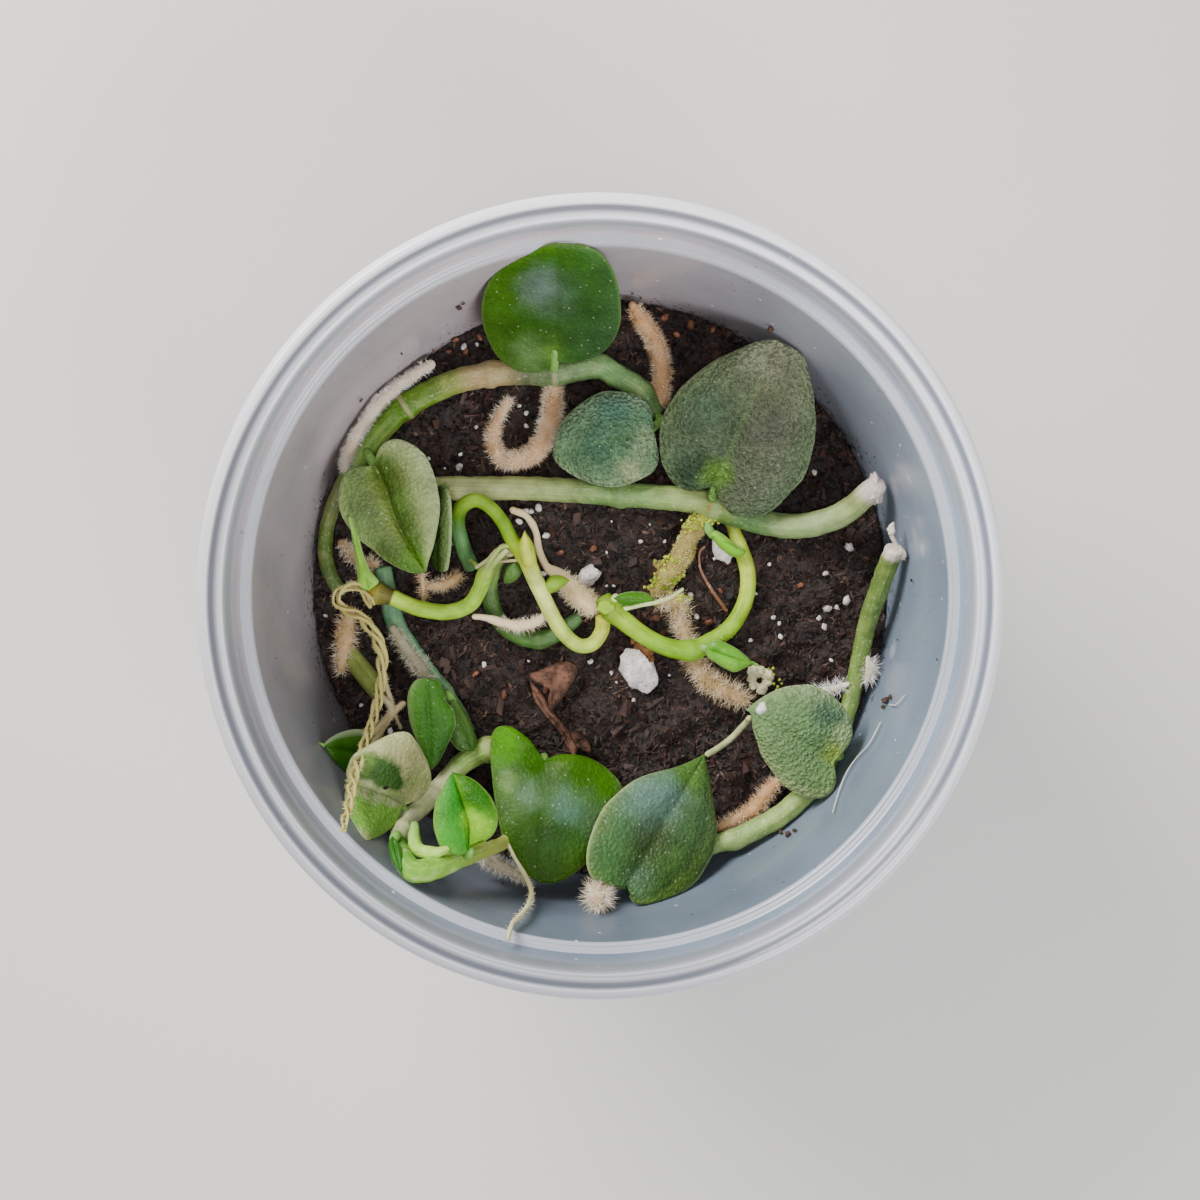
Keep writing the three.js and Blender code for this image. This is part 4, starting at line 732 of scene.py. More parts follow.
# %% Routes of the roots and other slender pieces
roots = {
    "root_loop": [
        (-7.6, 34.4, 36, 1.5), (-7.6, 31, 36.4, 1.9), (-8, 27.5, 36.6, 2), (-9.4, 23.6, 36.4, 2),
        (-12.3, 21.2, 36, 1.8), (-15.7, 21, 35.6, 1.6), (-17.4, 23.9, 35.5, 1.3),
        (-16.8, 27.2, 35.4, 1.1), (-15, 30.4, 35.2, 0.9)],
    "root_north": [
        (5.2, 45.6, 38.2, 1), (7, 43, 37.2, 1.6), (9, 39.8, 36.5, 1.7), (10, 36, 36.2, 1.7),
        (10, 32.6, 36, 1.7), (9.8, 30.4, 36, 1.4)],
    "root_north_west": [
        (-27.3, 36.3, 36.8, 1), (-31.9, 33.2, 38, 1.1), (-35.2, 30.1, 40, 1.2), (-37.6, 26.9, 40, 1.2),
        (-39.2, 24.3, 40, 1.2), (-40.5, 21.6, 39.6, 1.1), (-41.2, 19.5, 38.4, 1)],
    "root_west_tuft": [
        (-40.4, -3.4, 37, 1.2), (-41, -6, 37, 1.8), (-41.5, -9, 36.6, 2), (-42.2, -13, 35.7, 1.3)],
    "root_under_leaf": [(-42, 7.4, 35.8, 1.2), (-39, 4.4, 35.8, 1.5), (-36.6, 4, 35.8, 1.4)],
    "root_twisted": [
        (-36.5, -2.4, 42, 0.8), (-38.2, 0.3, 42.5, 0.9), (-40.6, 0.4, 42.8, 0.9), (-42, -1.3, 42.8, 0.9),
        (-40.6, -2.9, 42.3, 1), (-38.4, -3.8, 42, 1.05), (-36.1, -6.6, 41.6, 1.2),
        (-34.9, -9.8, 41.4, 1.3), (-35, -14.3, 42.4, 1.1), (-35.7, -18.8, 45.6, 1),
        (-36.8, -23.4, 51.6, 1), (-37.6, -27.2, 57, 1), (-37.6, -30.9, 63, 0.9), (-37.9, -34.6, 69, 0.7)],
    "root_branch": [
        (-34.4, -15.2, 40.4, 0.7), (-33.6, -19, 39.6, 0.7), (-34.6, -22, 42, 0.7), (-35.8, -24, 47, 0.7)],
    "root_grey_brush": [
        (-33.4, -6.4, 38.7, 1.2), (-31.2, -9.6, 39, 1.5), (-29, -12.6, 39, 1.5), (-27.4, -15, 38.6, 1)],
    "root_mossy": [
        (17, 11.4, 35.8, 1.5), (14.7, 8.7, 36, 1.7), (13.2, 5.4, 36, 1.9), (11, 2.2, 35.8, 2),
        (9.5, -0.2, 35.6, 1.5)],
    "root_long": [
        (12.2, -3.4, 35.4, 1.2), (13.6, -7, 35.2, 1.3), (15.5, -11.8, 35.5, 1.7),
        (18, -15.2, 35.8, 1.8), (21.2, -16.8, 35.7, 1.7), (23.8, -18.6, 35.4, 1.2)],
    "root_fat": [
        (-14.2, 12.8, 36.2, 0.6), (-12.1, 11.9, 35.6, 0.7), (-10.5, 9.5, 35.3, 0.7),
        (-10, 6.6, 35.1, 0.7), (-8.8, 3.8, 35.2, 0.8), (-6.4, 2, 35.8, 1.4), (-4, -0.6, 36.6, 1.95),
        (-1.5, -2.7, 36.9, 1.7)],
    "root_pale": [
        (-20.3, -4.4, 38.2, 0.6), (-18.4, -4.6, 38.4, 0.8), (-16, -5.3, 38.4, 1), (-13.2, -5.9, 38.4, 1.1),
        (-10.4, -5.4, 38, 0.9), (-9.2, -4.4, 37.6, 0.7)],
    "root_east_brush": [
        (29.2, -31.3, 36.5, 1.3), (26.8, -33.7, 36.6, 1.5), (25.5, -35.8, 37, 1.7),
        (22.8, -37.4, 37, 1.6), (19.8, -38.7, 37.8, 1.3)],
    "root_south_ball": [
        (1.2, -45.8, 47, 0.9), (-0.2, -46.8, 49.4, 1.5), (-0.3, -47.6, 51.8, 2.1), (-0.2, -48, 53.6, 1.1)],
    "root_on_wall": [
        (-14.6, -39.4, 48.8, 0.7), (-12.2, -43.6, 50, 0.8), (-10.9, -45.9, 51.2, 0.8),
        (-10.7, -47.4, 53.5, 0.8), (-11.4, -48.2, 59, 0.8), (-13.1, -49, 65, 0.75),
        (-13.7, -50.8, 67.6, 0.6)],
    "root_east_fringe": [
        (40.2, -15.4, 37.6, 0.8), (38.6, -16, 37, 1.1), (36.6, -16.6, 36.2, 1.1), (35.4, -17, 35.8, 0.8)],
    "root_middle_fuzz": [
        (-28, 0.4, 35.6, 1), (-25.6, 0.6, 35.8, 1.3), (-23.6, 1.6, 35.9, 1.2), (-22.8, 2.2, 35.8, 0.8)],
    "root_grey_mat": [
        (-18, -40.4, 51.4, 0.8), (-18.4, -41.8, 48.4, 1.2), (-15.6, -43.3, 48, 1.5),
        (-12.1, -45, 48.8, 0.9)],
    "tendril_dry": [
        (17.4, -26.6, 39.4, 0.5), (19.4, -25.6, 38, 0.5), (21.4, -24.2, 37, 0.5), (23.6, -21.6, 38.6, 0.5),
        (24, -20.6, 41, 0.5)],
    "twig": [
        (17, 6.8, 35.2, 0.2), (16.2, 6, 35.4, 0.2), (16.2, 4, 35.4, 0.22), (16.7, 2.4, 35.3, 0.25),
        (18.2, -0.2, 35.4, 0.3), (20.6, -3.6, 35.1, 0.35)],
    "bract_hook": [
        (-28.4, -35.4, 57.6, 0.7), (-28.3, -37.3, 59, 1), (-27.5, -38.7, 60.4, 1.1),
        (-25, -38.8, 62.2, 0.9), (-23.2, -38.2, 62.2, 0.5)],
}
print("roots and slender pieces:", len(roots))

# %% [markdown]
# ## The soil
# The soil is dark, damp bark compost. Its skin follows the CAD solid's own formula, finer, and hugs
# each stem and root that lies on it. Loose crumbs and chips are then strewn on it by Geometry Nodes,
# because thousands of alike bits are best placed by a rule.

# %% Height of the soil
SOIL_GRID = 200
SOIL_CLEAR = 0.35
grains = {
    "perlite_largest": ((6.3, -12.9, 35.6), (2.6, 3.7, 1.7), 20),
    "perlite_middle": ((-1.8, 2.2, 35), (1.8, 1.6, 1.2), 30),
    "perlite_oval": ((19.9, 6.4, 35), (1.4, 2.3, 1.1), 25),
    "perlite_mossy": ((26, -14.8, 35.2), (1.9, 1.9, 1.4), 0),
}


def pressed_places():
    """x, y, reach and lowest height of what the soil gives way to."""
    pressed = []
    for route in [*vines.values(), *roots.values()]:
        line, _ = through(route, 1.0)
        pressed += [(x, y, radius, z - radius) for x, y, z, radius in line]
    pressed += [(x, y, max(half[:2]), z - half[2]) for (x, y, z), half, _ in grains.values()]
    return pressed


PRESSED = pressed_places()
print("places that press the soil down:", len(PRESSED))
CLODS = [(602, 712, 4.6, 1.5), (668, 722, 5.0, 1.3), (349, 690, 2.8, 1.6), (770, 650, 3.6, 1.0),
         (735, 580, 3.2, 0.8), (560, 640, 3.0, 0.7), (470, 690, 3.2, 0.8), (830, 440, 3.0, 1.0)]


def soil_height(x, y):
    """The soil's height in mm at places given as arrays, with soft lumps and pressed beds."""
    x, y = np.asarray(x, float), np.asarray(y, float)
    height = (SOIL_HEIGHT + 0.5 * np.sin(0.36 * x + 1.3) * np.cos(0.31 * y - 0.4)
              + 0.3 * np.sin(0.9 * x + 0.7 * y) + 0.25 * np.cos(1.1 * y - 0.5 * x))
    rough = np.column_stack([x, y, np.zeros_like(x)])
    height = height + 0.5 * lumps(rough, 2.2, 3, 4) + 0.3 * lumps(rough, 0.8, 3, 5)
    for u, v, reach, rise in CLODS:
        px, py, _ = spot(u, v, SOIL_HEIGHT)
        height = height + rise * np.exp(-((x - px) ** 2 + (y - py) ** 2) / (0.6 * reach) ** 2)
    for px, py, reach, lowest in PRESSED:
        away = np.hypot(x - px, y - py)
        height = np.minimum(height, lowest - 0.1 + 0.9 * np.maximum(away - reach, 0))
    return height


# %% The soil's block
soil_radius = wall_radius(SOIL_HEIGHT) - SOIL_CLEAR
steps = np.linspace(-1, 1, SOIL_GRID + 1)
across, along = np.meshgrid(steps, steps, indexing="ij")
soil_x = (soil_radius * across * np.sqrt(1 - along ** 2 / 2)).ravel()
soil_y = (soil_radius * along * np.sqrt(1 - across ** 2 / 2)).ravel()
soil_places = np.column_stack([soil_x, soil_y, soil_height(soil_x, soil_y)])
count = SOIL_GRID + 1
soil_faces = [[i * count + j, (i + 1) * count + j, (i + 1) * count + j + 1, i * count + j + 1]
              for i in range(SOIL_GRID) for j in range(SOIL_GRID)]
edge = ([k * count for k in range(SOIL_GRID)] + [SOIL_GRID * count + k for k in range(SOIL_GRID)]
        + [(SOIL_GRID - k) * count + SOIL_GRID for k in range(SOIL_GRID)]
        + [SOIL_GRID - k for k in range(SOIL_GRID)])
for foot_radius, height in [(wall_radius(5) - SOIL_CLEAR, 5), (wall_radius(1.9) - 2.7, 1.9)]:
    rim = soil_places[edge]
    turned = rim[:, :2] / np.linalg.norm(rim[:, :2], axis=1, keepdims=True) * foot_radius
    start = len(soil_places)
    soil_places = np.vstack([soil_places, np.column_stack([turned, np.full(len(turned), height)])])
    lower = list(range(start, start + len(edge)))
    soil_faces += [[edge[k], lower[k], lower[(k + 1) % len(lower)], edge[(k + 1) % len(edge)]]
                   for k in range(len(edge))]
    edge = lower
soil_faces.append(edge)
bark_soil = rough_finish("damp bark soil", 0x080504, 0x2c1b15, grain=0.6, rough=0.7, relief=0.7,
                         third=0x4a2e24, third_share=0.4, shreds=2.5)
soil_skin = sewn_mesh("bark_soil", soil_places, soil_faces)
soil = settle("bark_soil", soil_skin, bark_soil, ["soil"])
print("soil faces:", len(soil.data.polygons))

# %% [markdown]
# ## Things strewn on a surface
# Bits on the soil and hairs on the roots are made the same way: points are strewn over the faces, a
# small shape is put on each, the copies are made real, bent by noise and given their finish. The soil
# bits are blocks, long shreds and flat chips, because shredded bark breaks along its fibres. The soil's
# upper edge looks up too, so some bits lie on its sides, where the tub's wall hides them.

# %% Geometry trees that strew
LOOKS_UP = 0.2  # the least upward part of the normal where bits lie
HAIR_PATCHES = 500.0  # thick and thin growth 2 mm apart
HAIR_WIND = 1300.0  # bends 0.8 mm apart
CRUMB_PUSH = 1800.0  # dents 0.6 mm apart


def tree_inputs(tree, sizes):
    """Gives a tree its geometry sockets and a named input for each size."""
    tree.interface.new_socket("Geometry", in_out='OUTPUT', socket_type='NodeSocketGeometry')
    tree.interface.new_socket("Geometry", in_out='INPUT', socket_type='NodeSocketGeometry')
    for name in sizes:
        kind = 'NodeSocketInt' if name == "Seed" else 'NodeSocketFloat'
        tree.interface.new_socket(name, in_out='INPUT', socket_type=kind)
    return add(tree, "NodeGroupInput").node.outputs


def loosened(tree, bits, bends_per_metre, detail, reach, finish):
    """Copies made real and given their finish, with their points moved about by noise."""
    bits = add(tree, "GeometryNodeRealizeInstances", [bits])
    push = add(tree, "ShaderNodeTexNoise", {"Scale": bends_per_metre, "Detail": detail})
    push = add(tree, "ShaderNodeVectorMath", [push.node.outputs["Color"], (0.5, 0.5, 0.5)],
               operation='SUBTRACT')
    push = add(tree, "ShaderNodeVectorMath", {0: push, "Scale": reach}, operation='SCALE')
    bits = add(tree, "GeometryNodeSetPosition", {"Geometry": bits, "Offset": push})
    return add(tree, "GeometryNodeSetMaterial", {"Geometry": bits, "Material": finish})


def hair_tree(hair_finish, segments):
    """Slender bent cones that stand on every face of the surface."""
    tree = bpy.data.node_groups.new("Hairs", 'GeometryNodeTree')
    given = tree_inputs(tree, ("Density", "Length", "Thickness", "Lean", "Bend", "From", "Seed"))
    patchy = add(tree, "ShaderNodeTexNoise", {"Scale": HAIR_PATCHES})
    patchy = add(tree, "ShaderNodeMapRange", [patchy, 0.35, 0.6, 0.35, 1.3])
    density = add(tree, "ShaderNodeMath", [given["Density"], patchy], operation='MULTIPLY')
    growth = add(tree, "GeometryNodeInputNamedAttribute", {"Name": "growth"}, data_type='FLOAT_VECTOR')
    share = add(tree, "ShaderNodeSeparateXYZ", [growth]).node.outputs[1]
    begun = add(tree, "ShaderNodeMath", [share, given["From"]], operation='GREATER_THAN')
    density = add(tree, "ShaderNodeMath", [density, begun], operation='MULTIPLY')
    strewn = add(tree, "GeometryNodeDistributePointsOnFaces",
                 {"Mesh": given["Geometry"], "Density": density, "Seed": given["Seed"]})
    lean_back = add(tree, "ShaderNodeMath", [given["Lean"], -1.0], operation='MULTIPLY')
    tilt = add(tree, "FunctionNodeRandomValue", {"Min": lean_back, "Max": given["Lean"]},
               data_type='FLOAT_VECTOR')
    turned = add(tree, "FunctionNodeRotateRotation", [strewn.node.outputs["Rotation"], tilt],
                 rotation_space='LOCAL')
    hair = add(tree, "GeometryNodeMeshCone",
               {"Vertices": 3, "Side Segments": segments, "Radius Top": 0.0,
                "Radius Bottom": given["Thickness"], "Depth": given["Length"]})
    scale = add(tree, "FunctionNodeRandomValue", {"Min": 0.45, "Max": 1.25}, data_type='FLOAT')
    hairs = add(tree, "GeometryNodeInstanceOnPoints",
                {"Points": strewn, "Instance": hair, "Rotation": turned, "Scale": scale})
    hairs = loosened(tree, hairs, HAIR_WIND, 1.0, given["Bend"], hair_finish)
    both = add(tree, "GeometryNodeJoinGeometry", [given["Geometry"]])
    tree.links.new(hairs, both.node.inputs[0])
    add(tree, "NodeGroupOutput", [both])
    return tree


def crumb_tree(crumb_finish, cuts):
    """Small bits of one shape, turned, stretched and strewn where the surface looks up."""
    tree = bpy.data.node_groups.new("Crumbs", 'GeometryNodeTree')
    given = tree_inputs(tree, ("Density", "Shortest", "Longest", "Thinnest", "Thickest", "Tilt", "Push",
                               "Seed"))
    normal = add(tree, "GeometryNodeInputNormal")
    upward = add(tree, "ShaderNodeSeparateXYZ", [normal]).node.outputs[2]
    looks_up = add(tree, "ShaderNodeMath", [upward, LOOKS_UP], operation='GREATER_THAN')
    strewn = add(tree, "GeometryNodeDistributePointsOnFaces",
                 {"Mesh": given["Geometry"], "Selection": looks_up, "Density": given["Density"],
                  "Seed": given["Seed"]})
    lean_back = add(tree, "ShaderNodeMath", [given["Tilt"], -1.0], operation='MULTIPLY')
    least = add(tree, "ShaderNodeCombineXYZ", [lean_back, lean_back, 0.0])
    most = add(tree, "ShaderNodeCombineXYZ", [given["Tilt"], given["Tilt"], 2 * math.pi])
    turned = add(tree, "FunctionNodeRandomValue", {"Min": least, "Max": most}, data_type='FLOAT_VECTOR')
    long = add(tree, "FunctionNodeRandomValue", {"Min": given["Shortest"], "Max": given["Longest"]},
               data_type='FLOAT')
    thin = add(tree, "FunctionNodeRandomValue", {"Min": given["Thinnest"], "Max": given["Thickest"],
                                                 "Seed": 1}, data_type='FLOAT')
    wide = add(tree, "FunctionNodeRandomValue", {"Min": 0.8, "Max": 1.8, "Seed": 2}, data_type='FLOAT')
    wide = add(tree, "ShaderNodeMath", [thin, wide], operation='MULTIPLY')
    size = add(tree, "ShaderNodeCombineXYZ", [long, wide, thin])
    bit = add(tree, "GeometryNodeMeshCube", cuts)
    crumbs = add(tree, "GeometryNodeInstanceOnPoints",
                 {"Points": strewn, "Instance": bit, "Rotation": turned, "Scale": size})
    crumbs = loosened(tree, crumbs, CRUMB_PUSH, 2.0, given["Push"], crumb_finish)
    add(tree, "NodeGroupOutput", [crumbs])
    return tree


def grown(mesh, tree, sizes):
    """The plain mesh that a tree makes of a mesh, with its named sizes set by their identifiers."""
    carrier = bpy.data.objects.new("carrier", mesh)
    bpy.context.scene.collection.objects.link(carrier)
    modifier = carrier.modifiers.new("grow", 'NODES')
    modifier.node_group = tree
    for item in tree.interface.items_tree:
        if item.in_out == 'INPUT' and item.name in sizes:
            modifier[item.identifier] = sizes[item.name]
    bpy.context.view_layer.update()
    ready = carrier.evaluated_get(bpy.context.evaluated_depsgraph_get())
    made = bpy.data.meshes.new_from_object(ready)
    bpy.data.objects.remove(carrier)
    return made


# %% Crumbs, chips and shreds
BAR = {"Vertices X": 3}
BLOCK = {}
crumb_kinds = {
    "crumbs": (rough_finish("bark crumbs", 0x080504, 0x281813, 1.2, 0.7, 0.2, 0x4a2e24, 0.4), BLOCK,
               {"Density": 7.0e5, "Shortest": 0.0003, "Longest": 0.0012, "Thinnest": 0.0002,
                "Thickest": 0.0006, "Tilt": 0.9, "Push": 0.0009, "Seed": 3}),
    "shreds": (rough_finish("bark shreds", 0x120a07, 0x4a3026, 1.4, 0.65, 0.1, 0x8a6a58, 0.35), BAR,
               {"Density": 8.0e5, "Shortest": 0.0008, "Longest": 0.0026, "Thinnest": 0.00007,
                "Thickest": 0.00018, "Tilt": 0.35, "Push": 0.0012, "Seed": 15}),
    "chips": (rough_finish("bark chips", 0x140b08, 0x3c2219, 1.6, 0.65, 0.3, 0x5a3528, 0.3), BLOCK,
              {"Density": 4.0e4, "Shortest": 0.0012, "Longest": 0.003, "Thinnest": 0.0004,
               "Thickest": 0.001, "Tilt": 0.5, "Push": 0.0022, "Seed": 8}),
}
for name, (finish, cuts, sizes) in crumb_kinds.items():
    mesh = grown(soil_skin, crumb_tree(finish, cuts), sizes)
    mesh.shade_flat()
    settle("soil_" + name, mesh, None, [])
    print(name, "faces:", len(mesh.polygons))

# %% [markdown]
# ## Perlite
# Perlite is volcanic glass puffed by heat: white, light and full of pores. Each grain is a ball pushed
# in and out by noise. The loose large grains stand for their CAD nodes. One of them has crumbled to a
# ring with a hole in it, with green crumbs of moss beside it, and a rusty crust lies by the largest. The
# small ones lie half in the soil, each where the photograph shows it. Moss crumbs also sit in clumps on
# the mossy root.

# %% Perlite grains
def grain_parts(middle, half, turn, detail, seed, rough):
    """Places, faces and growth numbers of a rough grain. Growth is how far from its middle it lies."""
    ball = bmesh.new()
    bmesh.ops.create_icosphere(ball, subdivisions=detail, radius=1.0)
    points = np.array([v.co[:] for v in ball.verts])
    faces = [[v.index for v in f.verts] for f in ball.faces]
    ball.free()
    reach = np.hypot(points[:, 0], points[:, 1])
    points = points * (1 + rough * lumps(points, 0.8, 3, seed)[:, None])
    angle = math.radians(turn)
    shaped = points * half
    x = shaped[:, 0] * math.cos(angle) - shaped[:, 1] * math.sin(angle)
    y = shaped[:, 0] * math.sin(angle) + shaped[:, 1] * math.cos(angle)
    growth = np.column_stack([reach, reach, reach])
    return np.column_stack([x, y, shaped[:, 2]]) + middle, faces, growth


perlite = rough_finish("expanded perlite", 0xc4b8b4, 0xf4ecea, grain=0.5, rough=0.75, relief=0.35,
                       third=0x6c5c54, third_share=0.5)
cream_perlite = rough_finish("mossy perlite", 0xd8cf9c, 0xf3ecc4, grain=0.8, rough=0.8, relief=0.3,
                             third=0x8f8a3a, third_share=0.55)
for name, (middle, half, turn) in grains.items():
    if name != "perlite_mossy":
        settle(name + "_grain", grain_parts(middle, half, turn, 4, len(name), 0.28), perlite, [name])

RING = [(80, 1.3, 1.0), (125, 1.5, 1.05), (180, 1.2, 0.8), (225, 1.3, 0.8), (285, 1.6, 0.9),
        (335, 1.3, 0.85), (25, 1.5, 1.05)]  # each scrap's turn, reach and size
ring = []
for number, (angle, reach, size) in enumerate(RING):
    outwards = np.array([math.cos(math.radians(angle)), math.sin(math.radians(angle)), 0.0])
    middle = np.array(grains["perlite_mossy"][0]) + reach * outwards
    ring.append(grain_parts(middle, (size, size, 1.1), angle, 3, number, 0.4))
settle("perlite_mossy_grain", joined(ring), cream_perlite, ["perlite_mossy"])

CRUST = [(640, 645, 0.9), (647, 651, 0.9), (650, 658, 0.6), (634, 640, 0.6)]
crust = [grain_parts(spot(u, v, 37), (size, size, 0.6), 0, 3, u, 0.6) for u, v, size in CRUST]
settle("perlite_crust", joined(crust), rough_finish("rusty crust", 0x54300f, 0x906030, 0.7, 0.8, 0.3), [])

MOSS_CRUMBS = [(768, 669), (771, 673), (774, 675), (773, 668), (770, 678), (774, 684), (778, 687),
               (782, 684), (777, 690), (780, 680)]
MOSS_CLUMPS = [(668, 580, 14, 12, 37, 70), (657, 586, 10, 8, 36.4, 30), (680, 598, 8, 4, 36.6, 24),
               (672, 562, 10, 8, 37.2, 26), (700, 520, 14, 6, 38.2, 50), (690, 527, 8, 6, 37.6, 24)]
moss = [grain_parts(spot(u, v, 35.6), (0.28, 0.28, 0.28), 0, 1, u + v, 0.6) for u, v in MOSS_CRUMBS]
chance = np.random.default_rng(7)
for u, v, wide, high, height, count in MOSS_CLUMPS:
    for _ in range(count):
        du, dv = chance.normal(0, 0.5, 2) * (wide, high)
        size = chance.uniform(0.2, 0.42)
        place = spot(u + du, v + dv, height + chance.uniform(-0.4, 0.4))
        moss.append(grain_parts(place, (size, size, size), 0, 1, int(u + du), 0.6))
settle("moss_crumbs", joined(moss), rough_finish("moss", 0x78881c, 0xc4cc48, 0.6, 0.9, 0.3), [])
print("scraps in the ring:", len(ring), "crumbs of moss:", len(moss))

# %% Small perlite in the soil
small_grains = [
    (525, 512, 6), (531, 511, 4), (538, 507, 6), (519, 521, 5), (546, 535, 5), (463, 516, 3), (452, 543, 3),
    (543, 573, 4), (590, 661, 4), (483, 664, 4), (528, 661, 2), (640, 541, 3.5), (664, 541, 2.5),
    (606, 552, 2), (613, 585, 2.5), (606, 585, 2), (649, 524, 1.5), (611, 521, 1.5), (690, 594, 4),
    (714, 558, 3), (696, 616, 4), (755, 593, 3), (773, 617, 3.5), (779, 623, 3), (780, 636, 4),
    (750, 640, 3.5), (769, 564, 3), (611, 673, 3), (616, 682, 2), (669, 675, 2), (633, 700, 3),
    (813, 472, 4), (848, 546, 7.5), (825, 573, 4), (846, 600, 6.5), (836, 607, 4), (827, 608, 6),
    (819, 618, 4), (824, 627, 4.5), (831, 660, 3), (460, 454, 3), (459, 467, 6), (429, 458, 2.5),
    (444, 468, 2), (476, 427, 3), (526, 413, 4), (526, 426, 3.5), (519, 406, 3), (464, 347, 4.5),
    (477, 345, 3), (325, 615, 3), (360, 705, 3), (389, 731, 5)]
parts = []
for number, (u, v, size) in enumerate(small_grains):
    x, y, _ = spot(u, v, SOIL_HEIGHT)
    radius = 0.65 * size / PIXELS_PER_MM * (CAMERA_HEIGHT - SOIL_HEIGHT) / (CAMERA_HEIGHT - RIM_HEIGHT)
    height = soil_height([x], [y])[0] + 0.35 + 0.5 * radius
    half = (1.15 * radius, 0.9 * radius, 0.8 * radius)
    parts.append(grain_parts((x, y, height), half, 50 * number, 2, number, 0.5))
settle("small_perlite", joined(parts), perlite, [])
print("small grains of perlite:", len(small_grains))

# %% [markdown]
# ## Loose bark and dirt on the wall
# A few red-brown bits of bark lie on the soil, and crumbs of soil and two pale threads have been flung
# on the wall.

# %% Bark bits and dirt
BARK_BIT = np.array([0.085, 0.055, 0.04])
WALL_BIT = np.array([0.6, 0.45, 0.5])
BITS_INSIDE = (0.992, 0.992, 1)  # a little nearer to the middle than the wall
THREADS_INSIDE = (0.99, 0.99, 1)
bark_bits = [
    (593, 548, 5, 40), (455, 340, 6, 20), (466, 352, 5, 70), (480, 338, 5, 120), (448, 352, 4, 10),
    (664, 318, 6, 30), (690, 326, 7, 100), (676, 336, 5, 150), (712, 330, 5, 60), (560, 552, 5, 15),
    (610, 600, 5, 80), (585, 620, 4, 20), (545, 690, 5, 60), (800, 585, 5, 30), (745, 600, 4, 100),
    (690, 560, 5, 30), (503, 694, 6, 70), (475, 673, 5, 40), (708, 622, 6, 20), (720, 590, 4, 130),
    (655, 618, 6, 10), (662, 632, 5, 60), (640, 600, 4, 30)]
parts = []
for number, (u, v, size, turn) in enumerate(bark_bits):
    x, y, _ = spot(u, v, SOIL_HEIGHT)
    half = BARK_BIT * size * 1.5
    parts.append(grain_parts((x, y, soil_height([x], [y])[0] + 0.7), half, turn, 2, number, 0.6))
settle("bark_bits", joined(parts),
       rough_finish("fresh bark bits", 0x4c2618, 0x8c5840, 1.2, 0.7, 0.3, 0xb4784c, 0.5), [])

wall_bits = [
    (889, 702, 8), (886, 708, 5), (893, 698, 5), (914, 580, 3), (458, 306, 6), (462, 302, 4),
    (771, 327, 7), (868, 452, 2), (876, 456, 2), (871, 461, 1.5), (860, 446, 2), (790, 838, 7),
    (783, 836, 5), (797, 834, 5), (771, 838, 4), (359, 399, 4), (400, 352, 3), (432, 349, 3),
    (318, 500, 3), (322, 520, 2), (314, 545, 2), (326, 640, 3), (320, 600, 2), (868, 712, 2),
    (860, 722, 2), (640, 296, 3), (651, 300, 2), (632, 292, 3), (880, 480, 2), (900, 640, 2),
    (940, 660, 2), (352, 430, 3), (345, 448, 3), (500, 888, 3), (508, 884, 2)]
parts = []
for number, (u, v, size) in enumerate(wall_bits):
    half = WALL_BIT * size / PIXELS_PER_MM
    parts.append(grain_parts(on_wall(u, v) * BITS_INSIDE, half, 40 * number, 2, number, 0.6))
settle("wall_dirt", joined(parts), rough_finish("splashed soil", 0x1c120e, 0x5a3c2e, 0.8, 0.8, 0.3), [])

THREAD = 0.1
LONG_THREAD = [(884, 724), (877, 738), (871, 748), (860, 760), (850, 775), (842, 795), (836, 816)]
SHORT_THREAD = [(893, 706), (900, 706), (908, 697)]
threads = [stem([(*(on_wall(u, v) * THREADS_INSIDE), THREAD) for u, v in pixels], sides=6, pitch=pitch)
           for pixels, pitch in [(LONG_THREAD, 0.8), (SHORT_THREAD, 0.6)]]
settle("wall_fibre", joined(threads), rough_finish("pale root thread", 0xc8c8bc, 0xe8e8e0, 1.0, 0.7, 0.0),
       [])
print("bark bits and dirt:", len(bark_bits) + len(wall_bits))

# %% [markdown]
# ## Cut ends, sheaths and scales
# A cut stem dries to a white papery end, and a thin sheath stands at a young node. These small parts are
# joined to their stem, so each takes its colour from one place on the stem's ramp.

# %% Small parts of the stems
def toned(parts, share, near=0.0):
    """Parts that take one place, share, on their piece's ramp of colours."""
    places, faces, _ = parts
    return places, faces, np.tile([0.0, share, near], (len(places), 1))


def seen_route(*points):
    """A route through u, v, height, radius points."""
    return [(*spot(u, v, height), radius) for u, v, height, radius in points]


def strand(points, share=1.0):
    """A thin strand through u, v, height, radius points, with one tone of its piece."""
    return toned(stem(seen_route(*points), sides=8, pitch=0.4, roughness=0.15), share)


def knob(u, v, height, half, share, turn=0, rough=0.4, detail=3):
    """A rough lump seen at a pixel, with one tone of its piece."""
    return toned(grain_parts(spot(u, v, height), half, turn, detail, u + v, rough), share)


def scale_leaf(share, **outline):
    """A small sheath or scale leaf, with one tone of its piece."""
    return toned(blade(rows=26, columns=8, pebble=0.0, wave=0.05, puff=0.15, crease=0.1, **outline), share)


